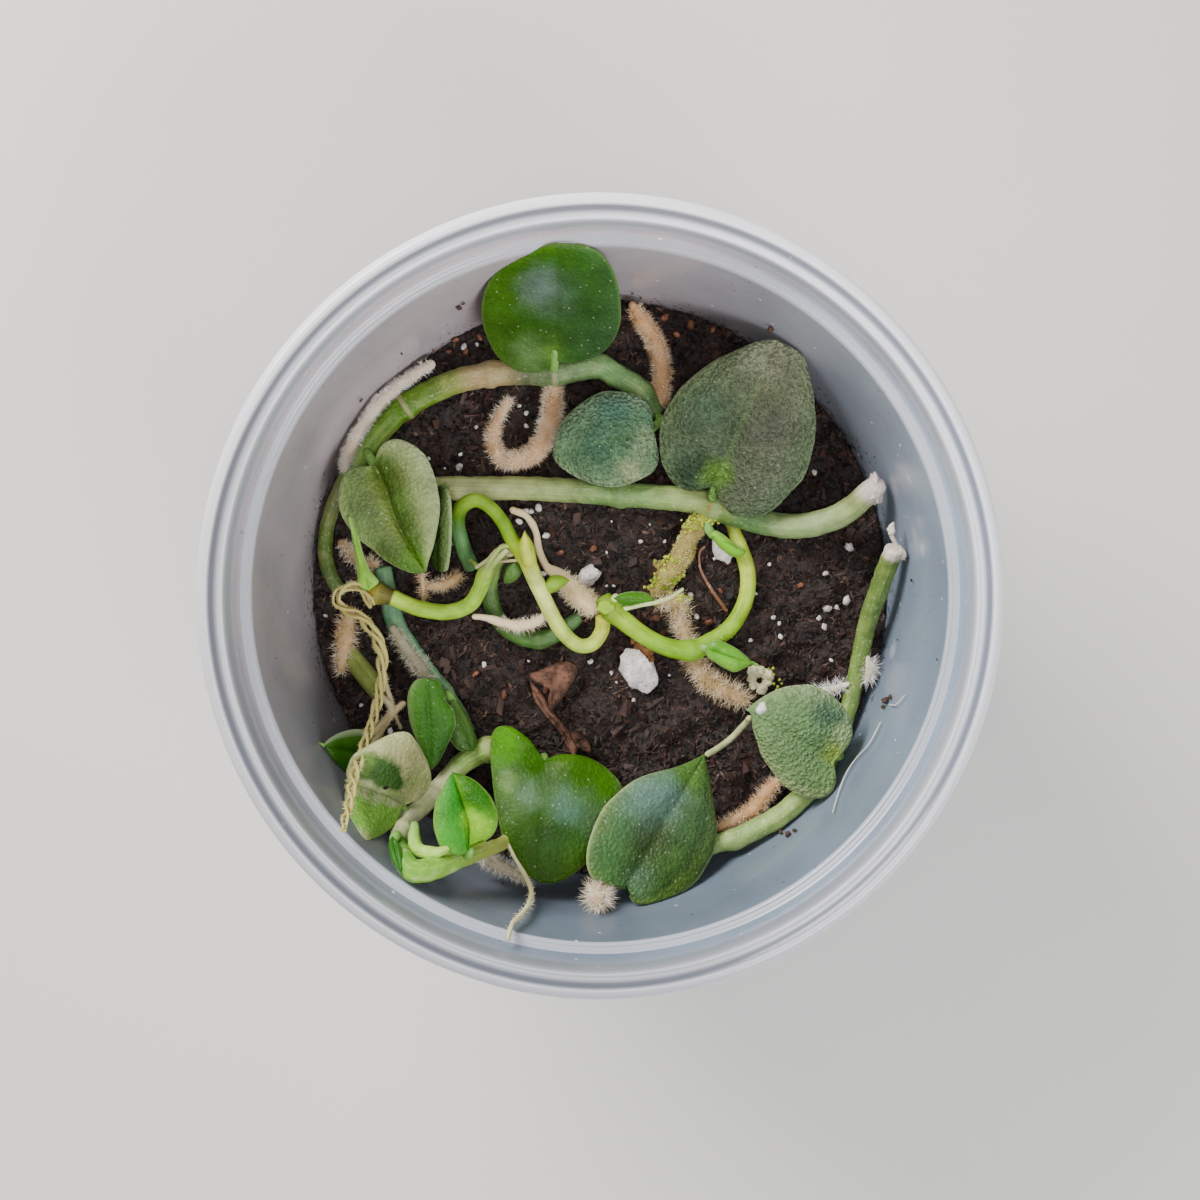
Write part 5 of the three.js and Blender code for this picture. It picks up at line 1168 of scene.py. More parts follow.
trimmings = {
    "vine_middle": [knob(874, 490, 45.4, (1.0, 2.4, 1.3), 1.0, 12, 0.6, 4)],
    "vine_east": [
        knob(899, 551, 46.4, (0.8, 1.4, 0.9), 0.0, 30, 0.5, 4),
        knob(891, 529, 47.6, (0.6, 0.9, 0.6), 0.0, 0, 0.6),
        strand([(898, 550, 46.8, 0.6), (894, 541, 47.4, 0.35), (891, 535, 47.6, 0.4),
                (892, 528, 47.7, 0.4)], 0.0)],
    "vine_loop": [
        knob(505, 548, 41.4, (0.9, 0.8, 0.7), 0.0),
        knob(499, 552, 41.2, (0.7, 0.7, 0.6), 0.0),
        knob(510, 553, 41.4, (0.8, 0.6, 0.6), 0.0),
        strand([(498, 561, 41.2, 0.3), (516, 560, 41.8, 0.25)], 0.0),
        scale_leaf(0.6, apex=(504, 582), notch=(515, 560), heights=(38.6, 41),
                   left=[(514, 581), (521, 572)], right=[(503, 575), (506, 565)], seed=31)],
    "shoot_west": [
        strand([(476, 567, 41.4, 0.35), (487, 560, 42.4, 0.4), (497, 549, 42.8, 0.35),
                (508, 545, 42.8, 0.3)]),
        strand([(484, 571, 42.2, 0.5), (491, 558, 42.9, 0.4), (502, 546, 43, 0.35),
                (516, 548, 43, 0.4)], 0.92),
        strand([(470, 560, 38, 0.3), (478, 567, 40.6, 0.4), (484, 574, 42, 0.3)], 0.9)],
    "shoot_arch": [
        scale_leaf(0.54, apex=(524, 530), notch=(527, 569), heights=(44.6, 43.4),
                   left=[(518, 546), (520, 560)], right=[(533, 545), (535, 562)], seed=32),
        scale_leaf(0.3, apex=(569, 580), notch=(543, 585), heights=(39.6, 41),
                   left=[(562, 587), (550, 593)], right=[(560, 575), (550, 576)], seed=33)],
    "shoot_east": [
        knob(726, 636, 38, (0.9, 0.35, 0.3), 0.0, -10),
        knob(606, 607, 41.6, (1.3, 1.0, 0.5), 0.1)],
}
print("small parts on the stems:", sum(len(parts) for parts in trimmings.values()))

# %% [markdown]
# ## Stems
# Older stems are grey-green with scars, the youngest shoots are lime green. Each gets a ramp of colours
# along it, read from its start to its end.

# %% Vines and shoots
vine_looks = {
    "vine_north": dict(along=[(0.0, 0x5c7c44), (0.12, 0x749c5c), (0.24, 0x647c4c), (0.3, 0x5c6444),
                              (0.36, 0xa89464), (0.41, 0xac9468), (0.45, 0x849040), (0.5, 0x5c7c1c),
                              (0.57, 0x4c740c), (0.63, 0x7ca43c), (0.7, 0x84a84c), (0.78, 0x747848),
                              (0.9, 0x486418), (1.0, 0x5a6a3c)],
                       joints=(4, 6, 8, 11), ring=0xb0a07c, scurf=0xa89870, scurf_share=0.2),
    # The darker stretch from 0.65 to 0.7 along is painted shadow under leaf_grey
    "vine_middle": dict(along=[(0.0, 0x98a868), (0.1, 0xb4b87c), (0.22, 0xa4b070), (0.32, 0x88985c),
                               (0.4, 0x6c8c4c), (0.48, 0x789854), (0.58, 0x9cb068), (0.65, 0x68803c),
                               (0.7, 0x507840), (0.78, 0x8ca468), (0.88, 0xa0b478), (0.955, 0x90a060),
                               (0.975, 0xd8c8bc), (1.0, 0xe4d4c8)],
                        joints=(4, 6), ring=0x7f9468, scurf=0xa8a878, scurf_share=0.2),
    "vine_east": dict(along=[(0.0, 0xe4d4c8), (0.012, 0xd8c8bc), (0.02, 0x748c44), (0.1, 0x6c8840),
                             (0.3, 0x708c40), (0.45, 0x80984c), (0.7, 0x8ca85c), (1.0, 0x7f9a5a)],
                      joints=(5, 9, 12), ring=0x8f9a66, scurf_share=0.15, flecks=0.5),
    "vine_south": dict(along=[(0.0, 0x88a83c), (0.12, 0x90b458), (0.17, 0xd4d8a4), (0.27, 0xbcc48c),
                              (0.3, 0xd4ccac), (0.34, 0xd0dc9c), (0.4, 0xc0c898), (0.43, 0x4a7c2c),
                              (0.5, 0x5a9430), (0.53, 0x80b834), (0.62, 0x8cbc48), (0.72, 0xa4b050),
                              (1.0, 0x98a058)],
                       joints=(1, 4, 7), ring=0xb8ac84, scurf=0xc4c090, scurf_share=0.35),
    "vine_west": dict(along=[(0.0, 0x5a8a60), (0.5, 0x6a9a74), (1.0, 0x54784c)], joints=(5,),
                      ring=0x6a6a48, scurf=0x9a9078, scurf_share=0.2, flecks=0.1),
    "vine_loop": dict(along=[(0.0, 0xb0a878), (0.02, 0x98a070), (0.05, 0x84a050), (0.3, 0x4c6c34),
                             (0.6, 0x4c7030), (1.0, 0x4c7040)], joints=(6,), ring=0x5f6f38, flecks=0.1),
    "shoot_west": dict(along=[(0.0, 0xc49a3a), (0.06, 0x8a7c38), (0.1, 0x6f6a2c), (0.125, 0x5a4c24),
                              (0.135, 0xb8d840), (0.3, 0x98c02c), (0.6, 0x98c438), (0.8, 0x90b838),
                              (0.9, 0x94a850), (1.0, 0xb0b080)], joints=(1, 7), ring=0x8ca03c, flecks=0.0),
    "shoot_arch": dict(along=[(0.0, 0x5a8450), (0.14, 0x4f7c44), (0.2, 0x507810), (0.27, 0x7ca028),
                              (0.42, 0x74a018), (0.48, 0x94b014), (0.54, 0xb4c03c), (0.58, 0xc8d868),
                              (0.64, 0xdce480), (0.72, 0xccdc68), (0.8, 0xc0dc58), (0.9, 0xc4dc50),
                              (1.0, 0xc4c83c)], joints=(8,), ring=0xb8bc3c, flecks=0.0),
    "shoot_east": dict(along=[(0.0, 0x709418), (0.05, 0x7ca014), (0.12, 0xa4cc30), (0.25, 0x84b418),
                              (0.4, 0x84b81c), (0.5, 0x94c028), (0.6, 0x90b818), (0.75, 0xc4d848),
                              (0.88, 0xb4cc40), (0.94, 0x94a040), (1.0, 0xb8c480)], joints=(1, 4),
                       ring=0x84a440, flecks=0.0),
}
for number, (name, look) in enumerate(vine_looks.items()):
    joints = look.pop("joints")
    finish = stem_skin(name.replace("_", " ") + " cuticle", **look)
    is_shoot = name.startswith("shoot")
    parts = stem(vines[name], sides=28, pitch=0.45, joints=joints, swell=0.16, ends=(0.3, 0.3),
                 roughness=0.03 if is_shoot else 0.07, fluting=0.0 if is_shoot else 0.02, seed=number)
    settle(name + "_stem", joined([parts, *trimmings.get(name, [])]), finish, [name])
print("stems:", len(vine_looks))

# %% [markdown]
# ## Furry roots
# The aerial roots are felted with fine root hairs, pale beige when dry. A core carries the hairs, which
# are slender cones strewn by Geometry Nodes. They are drawn about 0.07 mm thick, thicker than real ones,
# so that they show. On the mossy root they are thicker still, as moss leaves are. Side roots are joined
# to the root that they leave.

# %% Root cores and fur
# Colours of core, shadow and fur, hairs to a square mm, their length in mm, segments of a hair, the
# core's share of the route's radius, and the share of the length that stays bare
root_looks = {
    "root_loop": (0xb88c5c, 0xe8c49c, 0xfff4e0, 26, 1.1, 1, 0.68, 0.0),
    "root_north": (0xa87c48, 0xe0b484, 0xffe8cc, 24, 1.1, 1, 0.68, 0.0),
    "root_north_west": (0xc8b090, 0xe8dccc, 0xffffff, 20, 0.8, 1, 0.76, 0.0),
    "root_west_tuft": (0x98804c, 0xd8b484, 0xfff0d8, 14, 1.6, 2, 0.6, 0.0),
    "root_under_leaf": (0xa08058, 0xe0c8a4, 0xfff4e0, 16, 1.4, 2, 0.6, 0.0),
    "root_twisted": (0xb4a458, 0xc8bc74, 0xf4ecc8, 3, 0.5, 1, 1.0, 0.0),
    "root_branch": (0xb8a478, 0xd8c8a0, 0xf0e8d0, 4, 0.6, 1, 0.6, 0.0),
    "root_grey_brush": (0x88805c, 0xa8a088, 0xe4dcc8, 14, 1.4, 2, 0.6, 0.0),
    "root_mossy": (0x846c3c, 0xa89458, 0xdcd48c, 16, 0.45, 1, 0.85, 0.0),
    "root_long": (0x84743c, 0xdcbc8c, 0xffecd0, 18, 1.9, 2, 0.6, 0.0),
    "root_fat": (0xe8d0a0, 0xe8d0a0, 0xfff4d8, 14, 1.1, 2, 0.85, 0.68),
    "root_pale": (0xf8dcb8, 0xe8d4b0, 0xfff4e0, 12, 1.0, 2, 0.75, 0.4),
    "root_east_brush": (0xb08450, 0xe0b484, 0xffe8cc, 16, 1.3, 2, 0.62, 0.0),
    "root_south_ball": (0xa8906c, 0xe4d0b0, 0xfff4e4, 22, 2.2, 2, 0.6, 0.0),
    "root_on_wall": (0xc8c088, 0xdcd4a4, 0xf4ecd4, 4, 0.7, 1, 0.5, 0.0),
    "root_east_fringe": (0xc8b8a0, 0xf0e8dc, 0xffffff, 20, 1.8, 2, 0.5, 0.0),
    "root_middle_fuzz": (0xa88458, 0xd8b484, 0xffecd0, 20, 1.2, 2, 0.62, 0.0),
    "root_grey_mat": (0x988c78, 0xc4b8a0, 0xf0e8d4, 14, 1.2, 2, 0.62, 0.0),
}
root_branches = {
    "root_east_fringe": [[(43.4, -11.2, 37.6, 0.5), (43.8, -13, 37.8, 0.8), (43.4, -14.6, 37.4, 0.5)]],
    "root_middle_fuzz": [seen_route((421, 573, 39, 0.3), (422, 588, 37, 0.3), (423, 600, 35.6, 0.3))],
    "root_mossy": [seen_route((688, 530, 36.4, 1.0), (698, 519, 37, 1.2), (710, 516, 37.4, 1.0)),
                   seen_route((655, 563, 35.8, 0.5), (664, 568, 36, 0.9)),
                   seen_route((711, 498, 39.4, 0.2), (709, 508, 39.2, 0.25), (703, 518, 37.6, 0.3)),
                   seen_route((721, 507, 39.6, 0.2), (713, 511, 38.8, 0.25), (708, 518, 37.6, 0.3))],
    "root_long": [seen_route((656, 604, 36, 0.6), (670, 600, 36.2, 0.8), (684, 608, 36, 0.8))],
    "root_branch": [seen_route((380, 697, 40.6, 0.5), (390, 708, 40.4, 0.6), (385, 724, 41, 0.5)),
                    seen_route((402, 704, 39.6, 0.5), (388, 716, 40.6, 0.6), (372, 735, 44, 0.5)),
                    seen_route((392, 712, 40, 0.3), (399, 728, 39, 0.3))],
    "root_grey_mat": [seen_route((500, 868, 48, 0.4), (487, 856, 49, 0.6), (478, 850, 50, 0.5))],
}
HAIR_RADIUS = 0.036
MOSS_RADIUS = 0.09
HAIR_LEAN = 0.85  # radians
HAIR_BEND = 0.65  # share of the hair's length
hair_count = 0
for number, (name, look) in enumerate(root_looks.items()):
    core, shadow, fur, per_square_mm, length, segments, core_share, bare_until = look
    route = [(x, y, z, radius * core_share) for x, y, z, radius in roots[name]]
    parts = stem(route, sides=14, pitch=0.7, roughness=0.2, seed=number)
    if name == "root_twisted":
        parts = twisted(roots[name], strands=3, spread=0.55, thinness=0.29, twist=11)
    branches = [stem(branch, sides=10, pitch=0.6, roughness=0.2) for branch in root_branches.get(name, [])]
    parts = joined([parts, *branches])
    mesh = sewn_mesh(name + "_fur", *parts)
    moss = 0xb4c430 if name == "root_mossy" else core
    mesh.materials.append(rough_finish(name + " skin", core, shadow, 1.2, 0.8, 0.3, moss, 0.4))
    fur_finish = rough_finish(name + " hairs", shadow, fur, 0.7, 0.9, 0.0)
    mesh = grown(mesh, hair_tree(fur_finish, segments), {
        "Density": per_square_mm * 1e6, "Length": length * MM,
        "Thickness": (MOSS_RADIUS if name == "root_mossy" else HAIR_RADIUS) * MM,
        "Lean": HAIR_LEAN, "Bend": HAIR_BEND * length * MM, "From": bare_until, "Seed": number})
    settle(name + "_fur", mesh, None, [name])
    hair_count += len(mesh.polygons)
print("faces of the furry roots:", hair_count)

# %% Bare slender pieces
slender_looks = {
    "tendril_dry": ("dry tendril", [(0.0, 0xb9c48a), (1.0, 0xcfcf98)], "shoot"),
    "twig": ("dry twig", [(0.0, 0xa07060), (1.0, 0x6a4428)], "dry_bark"),
    "bract_hook": ("hooked bract", [(0.0, 0x7fb050), (0.5, 0x9ccf4a), (1.0, 0xa8c85a)], "shoot"),
}
for name, (title, along, slot) in slender_looks.items():
    settle(name + "_stem", stem(roots[name], sides=14, pitch=0.4, roughness=0.08),
           stem_skin(title, along, gloss=0.6), [name])
    print(name, "runs through", len(roots[name]), "points")

# %% [markdown]
# ## Leaves
# Each leaf lists its outline in the photograph's pixels, apex first, the heights of its apex and notch,
# its stalk's points in millimetres and its colours. A few end in a thin dry strand.

# %% Leaves of the north half
leaves = {}
leaves["leaf_north"] = dict(
    shape=dict(
        apex=(556, 247), notch=(554, 357), heights=(65.8, 42), rises=(-0.5, -0.5), arch=-1.0, seed=1,
        left=[(545, 248), (533, 251), (521, 256), (501, 268), (490, 281), (483, 298), (481, 316),
              (484, 333), (491, 349), (501, 362), (515, 371), (533, 373), (547, 368)],
        right=[(566, 247), (584, 248), (599, 255), (610, 268), (617, 286), (620, 305), (620, 323),
               (615, 338), (605, 351), (590, 359), (573, 362), (561, 361)]),
    stalk=[(-7.4, 35.6, 40), (-8, 36, 37)],
    skin=dict(across=[(0.0, 0x4c7420), (0.2, 0x3a6014), (0.5, 0x305a1c), (0.75, 0x34582c), (1.0, 0x446244)],
              along=[(0.0, 0x548c00), (0.2, 0x3c7404), (0.6, 0x284c10), (0.85, 0x3c6020), (1.0, 0x4f7c30)],
              along_share=0.5,
              # The first two patches are a painted bluish reflection highlight
              patches=[(540, 289, 57, 5.0, 0x70807c, 0.7), (562, 296, 57, 5.0, 0x586c60, 0.4),
                       (553, 350, 43, 3.6, 0x6c9438, 0.6), (528, 354, 45, 4.5, 0x6c8c54, 0.6),
                       (590, 335, 50, 6.0, 0x34542c, 0.5)],
              specks=0.6, pebbles=0.3, gloss=0.3, rim=0x6f9444, rib_share=0.05))
leaves["leaf_west"] = dict(
    shape=dict(
        apex=(425, 572), notch=(374, 465), heights=(41, 43.4), rises=(1.4, 2.0), arch=1.0, seed=2,
        rib=((398, 525), (386, 490)), crease=0.9,
        left=[(412, 573), (398, 568), (383, 559), (370, 548), (357, 538), (348, 527), (341, 515),
              (338, 502), (339, 490), (342, 478), (350, 468), (362, 466)],
        right=[(428, 560), (433, 545), (438, 520), (439, 502), (436, 485), (431, 468), (424, 455),
               (414, 446), (404, 441), (395, 439), (385, 442), (378, 450)]),
    stalk=[(-36.8, 21.4, 41), (-37.8, 22.4, 37)],
    skin=dict(across=[(0.0, 0x90a064), (0.1, 0x647c44), (0.3, 0x647840), (0.42, 0x74883c), (0.5, 0x566c20),
                      (0.55, 0x3c5c14), (0.66, 0x48681c), (0.78, 0x88985c), (0.9, 0xa8b478),
                      (1.0, 0xb4c08c)],
              along=[(0.0, 0x5c9408), (0.14, 0x60801c), (0.3, 0x687c38), (1.0, 0x54683c)], along_share=0.25,
              patches=[(398, 475, 44, 3.0, 0x5c5a28, 0.5), (410, 560, 41, 4.5, 0x447408, 0.7),
                       (386, 552, 41, 4.0, 0x3c5408, 0.7), (388, 480, 43, 4.0, 0x40580c, 0.6)],
              pebbles=0.45, blotch=0.25, rib_share=0.0, specks=0.5))
leaves["leaf_edge"] = dict(
    shape=dict(
        apex=(440, 571), notch=(441, 485), heights=(38.6, 41.2), rises=(-3, 3), arch=0.4, seed=3,
        rows=60, columns=14,
        left=[(434, 566), (430, 557), (432, 543), (435, 520), (438, 503), (437, 490)],
        right=[(445, 570), (447, 556), (449, 535), (449, 505), (447, 490)]),
    stalk=[(-25, 16.4, 39.6), (-25.2, 16.3, 37)],
    skin=dict(across=[(0.0, 0x243c14), (0.7, 0x3c5620), (1.0, 0x7c9058)],
              along=[(0.0, 0x3c5c1c), (1.0, 0x2c4818)], pebbles=0.5))
leaves["leaf_blue"] = dict(
    shape=dict(
        apex=(552, 455), notch=(653, 430), heights=(41.2, 40.2), arch=1.2, pebble=0.07, crease=0.12, seed=4,
        left=[(557, 464), (567, 472), (580, 479), (597, 485), (613, 487), (628, 484), (642, 478),
              (652, 472), (658, 460), (657, 447), (654, 437)],
        right=[(554, 443), (560, 424), (571, 411), (585, 400), (600, 392), (614, 391), (630, 393),
               (643, 399), (650, 409), (652, 420)]),
    stalk=[(9.6, 27, 38.8), (9, 28.4, 36.5)],
    skin=dict(across=[(0.0, 0x90a47c), (0.14, 0x68845c), (0.45, 0x4c704c), (0.75, 0x5c7c58),
                      (1.0, 0x849878)],
              along=[(0.0, 0x8c9c6c), (0.25, 0x587c5c), (1.0, 0x4c705c)],
              patches=[(612, 412, 42, 5.0, 0x30645c, 0.5), (572, 440, 41, 4.5, 0x708c68, 0.4),
                       (642, 442, 41, 4.0, 0x90a47c, 0.7), (630, 470, 41, 4.0, 0xa8b080, 0.6),
                       (595, 448, 41, 5.0, 0x3c6450, 0.5)],
              pebbles=1.0, blotch=0.2, gloss=0.38, rim=0xa8b88c))
leaves["leaf_grey"] = dict(
    shape=dict(
        apex=(775, 340), notch=(714, 485), heights=(47, 42), arch=1.2, puff=0.8, crease=0.25, seed=5,
        rows=100, columns=34, pebble=0.08, wave=0.3,
        left=[(760, 341), (745, 346), (730, 353), (715, 360), (700, 370), (688, 380), (678, 390),
              (670, 402), (663, 414), (659, 430), (659, 448), (661, 462), (667, 475), (675, 485),
              (685, 490), (695, 490), (705, 485), (712, 480)],
        right=[(790, 347), (800, 352), (805, 362), (808, 375), (812, 392), (814, 410), (815, 425),
               (813, 445), (808, 465), (803, 478), (797, 485), (790, 492), (783, 500), (775, 508),
               (765, 514), (755, 516), (742, 517), (732, 515), (725, 508), (719, 500), (716, 490)]),
    stalk=[(18, 15.6, 40.6), (18, 13.8, 37.5)],
    skin=dict(across=[(0.0, 0x6c8454), (0.16, 0x506848), (0.45, 0x4c5c40), (0.6, 0x545c40), (0.8, 0x606450),
                      (1.0, 0x6c845c)],
              along=[(0.0, 0x989c7c), (0.22, 0x7a7e62), (0.45, 0x566048), (0.7, 0x4c5844), (1.0, 0x4c6030)],
              along_share=0.5,
              # The first patch is painted shade in the hollow left of the midrib
              patches=[(695, 472, 43, 5.5, 0x1c3420, 0.8), (716, 474, 42, 4.0, 0x5c8424, 0.8),
                       (705, 410, 45, 6.0, 0x405c48, 0.5), (765, 430, 45, 6.0, 0x54504a, 0.5),
                       (765, 360, 45, 6.0, 0x989c80, 0.6)],
              pebbles=1.0, blotch=0.2, gloss=0.36, rim=0x94a47c))
north_leaves = len(leaves)
print("leaves listed for the north half:", north_leaves)

# %% Leaves of the south half
leaves["leaf_east"] = dict(
    shape=dict(
        apex=(746, 710), notch=(834, 762), heights=(43.5, 45.5), rises=(0.5, 0.5), arch=1.2, seed=6,
        pebble=0.07, crease=0.12, puff=0.5,
        left=[(751, 715), (753, 730), (757, 742), (761, 755), (768, 766), (776, 777), (785, 787),
              (795, 794), (805, 799), (815, 800), (823, 799), (832, 794), (836, 786), (837, 777),
              (835, 770)],
        right=[(760, 699), (772, 692), (785, 687), (800, 685), (812, 685), (822, 689), (833, 696),
               (842, 705), (848, 714), (852, 722), (853, 735), (851, 743), (846, 751), (840, 758)]),
    stalk=[(38.2, -26.4, 43.4), (37.6, -26.2, 39.6)],
    skin=dict(across=[(0.0, 0x9ca874), (0.15, 0x668050), (0.5, 0x567448), (0.85, 0x668454),
                      (1.0, 0x90a478)],
              along=[(0.0, 0x7c9460), (0.6, 0x5c7c4c), (1.0, 0x74963c)],
              patches=[(828, 715, 45, 5.0, 0x345444, 0.7), (848, 735, 45, 3.5, 0x98a878, 0.6),
                       (835, 750, 45.5, 3.0, 0x8ca034, 0.6), (762, 710, 44, 0.9, 0xe8ece4, 1.5)],
              pebbles=0.7, gloss=0.4, blotch=0.15))
leaves["leaf_south_east"] = dict(
    shape=dict(
        apex=(704, 755), notch=(626, 888), heights=(40, 50), rises=(0.8, 0.0), arch=1.0, seed=7, rows=96,
        columns=30, crease=0.08, puff=0.6,
        left=[(690, 762), (675, 768), (655, 773), (640, 778), (628, 785), (615, 796), (605, 806),
              (598, 818), (592, 832), (588, 845), (586, 858), (587, 870), (592, 880), (602, 885),
              (612, 889), (622, 890)],
        right=[(708, 770), (712, 790), (715, 810), (717, 825), (717, 840), (714, 855), (709, 865),
               (700, 880), (690, 890), (680, 898), (665, 904), (655, 907), (643, 908), (635, 906),
               (630, 900), (628, 893)]),
    stalk=[(3.6, -46.2, 48.2), (4, -45.8, 45.4)],
    skin=dict(across=[(0.0, 0x84985c), (0.05, 0x5c7c44), (0.16, 0x3c6438), (0.5, 0x34502c),
                      (0.75, 0x3c5c28), (0.82, 0x2c441c), (0.9, 0x54702c), (1.0, 0x486024)],
              along=[(0.0, 0x5c8030), (0.3, 0x506c50), (0.6, 0x345020), (1.0, 0x486c24)], along_share=0.4,
              # The first patch is a painted bluish sheen highlight
              patches=[(652, 800, 45, 8.0, 0x607c78, 0.6), (652, 838, 46, 6.0, 0x344420, 0.8),
                       (600, 850, 47, 5.0, 0x305428, 0.7), (640, 880, 49, 4.0, 0x4c6c54, 0.5),
                       (690, 775, 42, 4.5, 0x4c7024, 0.7)],
              pebbles=0.4, gloss=0.34, rib_share=0.0, specular=0.18))
leaves["leaf_south"] = dict(
    shape=dict(
        apex=(538, 885), notch=(543, 762), heights=(50.2, 44.4), rises=(-1.2, 0.0), arch=1.0, seed=8,
        rows=96, columns=30, crease=0.15, puff=0.5,
        left=[(555, 885), (570, 878), (583, 868), (592, 857), (598, 845), (604, 830), (614, 815),
              (622, 800), (622, 787), (610, 772), (598, 763), (585, 757), (572, 755), (560, 755),
              (550, 758)],
        right=[(527, 878), (518, 869), (510, 858), (503, 845), (499, 830), (495, 810), (492, 790),
               (490, 770), (489, 752), (490, 738), (494, 729), (501, 726), (510, 727), (520, 733),
               (530, 742), (537, 752)]),
    stalk=[(-9, -26.8, 42), (-9.5, -29.4, 40)],
    skin=dict(across=[(0.0, 0x507420), (0.15, 0x3a6418), (0.5, 0x2c4c14), (0.8, 0x3c6818), (1.0, 0x4f8414)],
              along=[(0.0, 0x304c10), (0.4, 0x2c4a14), (0.55, 0x446038), (0.7, 0x587034), (0.78, 0x3a6008),
                     (1.0, 0x447c00)], along_share=0.7,
              # Patches at (592, 822), (508, 781), (528, 797), (566, 806) and (505, 808) paint the pale
              # bluish highlight band across the blade
              patches=[(592, 822, 46, 5.0, 0x50704c, 0.6), (555, 835, 46, 6.0, 0x284820, 0.6),
                       (502, 745, 45, 5.5, 0x448400, 1.0), (530, 762, 45, 4.5, 0x2c5800, 1.3),
                       (585, 770, 45, 5.5, 0x305800, 1.3), (606, 785, 45, 4.5, 0x305c00, 1.2),
                       (508, 781, 46, 3.0, 0x7c985c, 0.55), (528, 797, 46, 3.6, 0x648064, 0.6),
                       (566, 806, 46, 4.5, 0x54786c, 0.5), (505, 808, 46, 4.0, 0x5c7c48, 0.6)],
              pebbles=0.35, gloss=0.36, rim=0x789848, rib_share=0.0, specular=0.1))
leaves["leaf_folded"] = dict(
    shape=dict(
        apex=(451, 773), notch=(467, 852), heights=(57.6, 60.4), rises=(1.8, 1.8), arch=0.8, seed=9,
        rib=((461, 803), (468, 826)), crease=0.7, rows=70, columns=18, curl=0.1,
        left=[(462, 776), (473, 781), (483, 790), (490, 799), (495, 811), (496, 824), (492, 835),
              (484, 842), (475, 845), (469, 848)],
        right=[(445, 781), (441, 790), (435, 801), (432, 815), (432, 828), (435, 840), (440, 850),
               (450, 856), (460, 857)]),
    stalk=[(-19.8, -39.2, 60.2), (-20.4, -39.8, 58.4)],
    skin=dict(across=[(0.0, 0x44701c), (0.2, 0x3c7010), (0.42, 0x5c9018), (0.5, 0x2c700c), (0.56, 0x1c7018),
                      (0.75, 0x287828), (0.9, 0x4c8c38), (1.0, 0x609038)],
              along=[(0.0, 0x2c6818), (0.4, 0x3c8018), (1.0, 0x5c9c1c)], rib_share=0.0,
              patches=[(478, 826, 61, 4.0, 0x7cac24, 0.9), (478, 795, 61, 4.5, 0x245c08, 1.1),
                       (447, 836, 61, 4.5, 0x308420, 0.6)],
              pebbles=0.3, gloss=0.36, rim=0x84a850, specular=0.1))
leaves["leaf_lower"] = dict(
    shape=dict(
        apex=(430, 770), notch=(426, 678), heights=(43, 43.4), arch=0.8, seed=10, rows=64, columns=18,
        left=[(436, 765), (444, 750), (450, 737), (454, 727), (454, 718), (451, 708), (446, 703),
              (442, 690), (437, 682)],
        right=[(425, 760), (418, 748), (412, 735), (408, 722), (406, 708), (406, 697), (409, 687),
               (415, 680)]),
    stalk=[(-26.4, -15, 41.4), (-26.4, -15.8, 37)],
    skin=dict(across=[(0.0, 0x34641c), (0.5, 0x2a5a10), (0.8, 0x3c6e1e), (1.0, 0x8fa86c)],
              along=[(0.0, 0x2f6418), (1.0, 0x4a7c24)], pebbles=0.3, rib_share=0.0))
leaves["leaf_shaded"] = dict(
    shape=dict(
        apex=(470, 752), notch=(450, 700), heights=(41, 40.4), rises=(-2, 1), arch=0.4, seed=11, rows=48,
        columns=14,
        left=[(475, 746), (473, 735), (466, 720), (458, 706)],
        right=[(459, 751), (450, 742), (445, 728), (444, 712)]),
    stalk=[(-24.6, -17, 38.6), (-25, -17.8, 36.5)],
    skin=dict(across=[(0.0, 0x6a8450), (0.3, 0x34581c), (1.0, 0x34581c)],
              along=[(0.0, 0x2c5018), (1.0, 0x6a8444)], pebbles=0.3, rib_share=0.0))
leaves["leaf_far_west"] = dict(
    shape=dict(
        apex=(321, 746), notch=(382, 757), heights=(50.6, 43.4), arch=0.6, seed=12, rows=56, columns=16,
        left=[(325, 756), (333, 768), (343, 777), (356, 781), (369, 778), (379, 769)],
        right=[(330, 738), (343, 732), (358, 730), (370, 733), (380, 742)]),
    stalk=[(-33, -28, 41.6), (-28.8, -31.6, 40), (-26.6, -32.7, 41.4)],
    strands=[[(322, 746, 50.6, 0.35), (316, 744, 51, 0.25)]],
    skin=dict(across=[(0.0, 0x2c5c0c), (0.5, 0x2c5c08), (0.85, 0x3c6c14), (1.0, 0xc0cca8)],
              along=[(0.0, 0x3c6c1c), (0.25, 0x2c6008), (1.0, 0x204c04)], pebbles=0.2, gloss=0.34,
              rib_share=0.0))
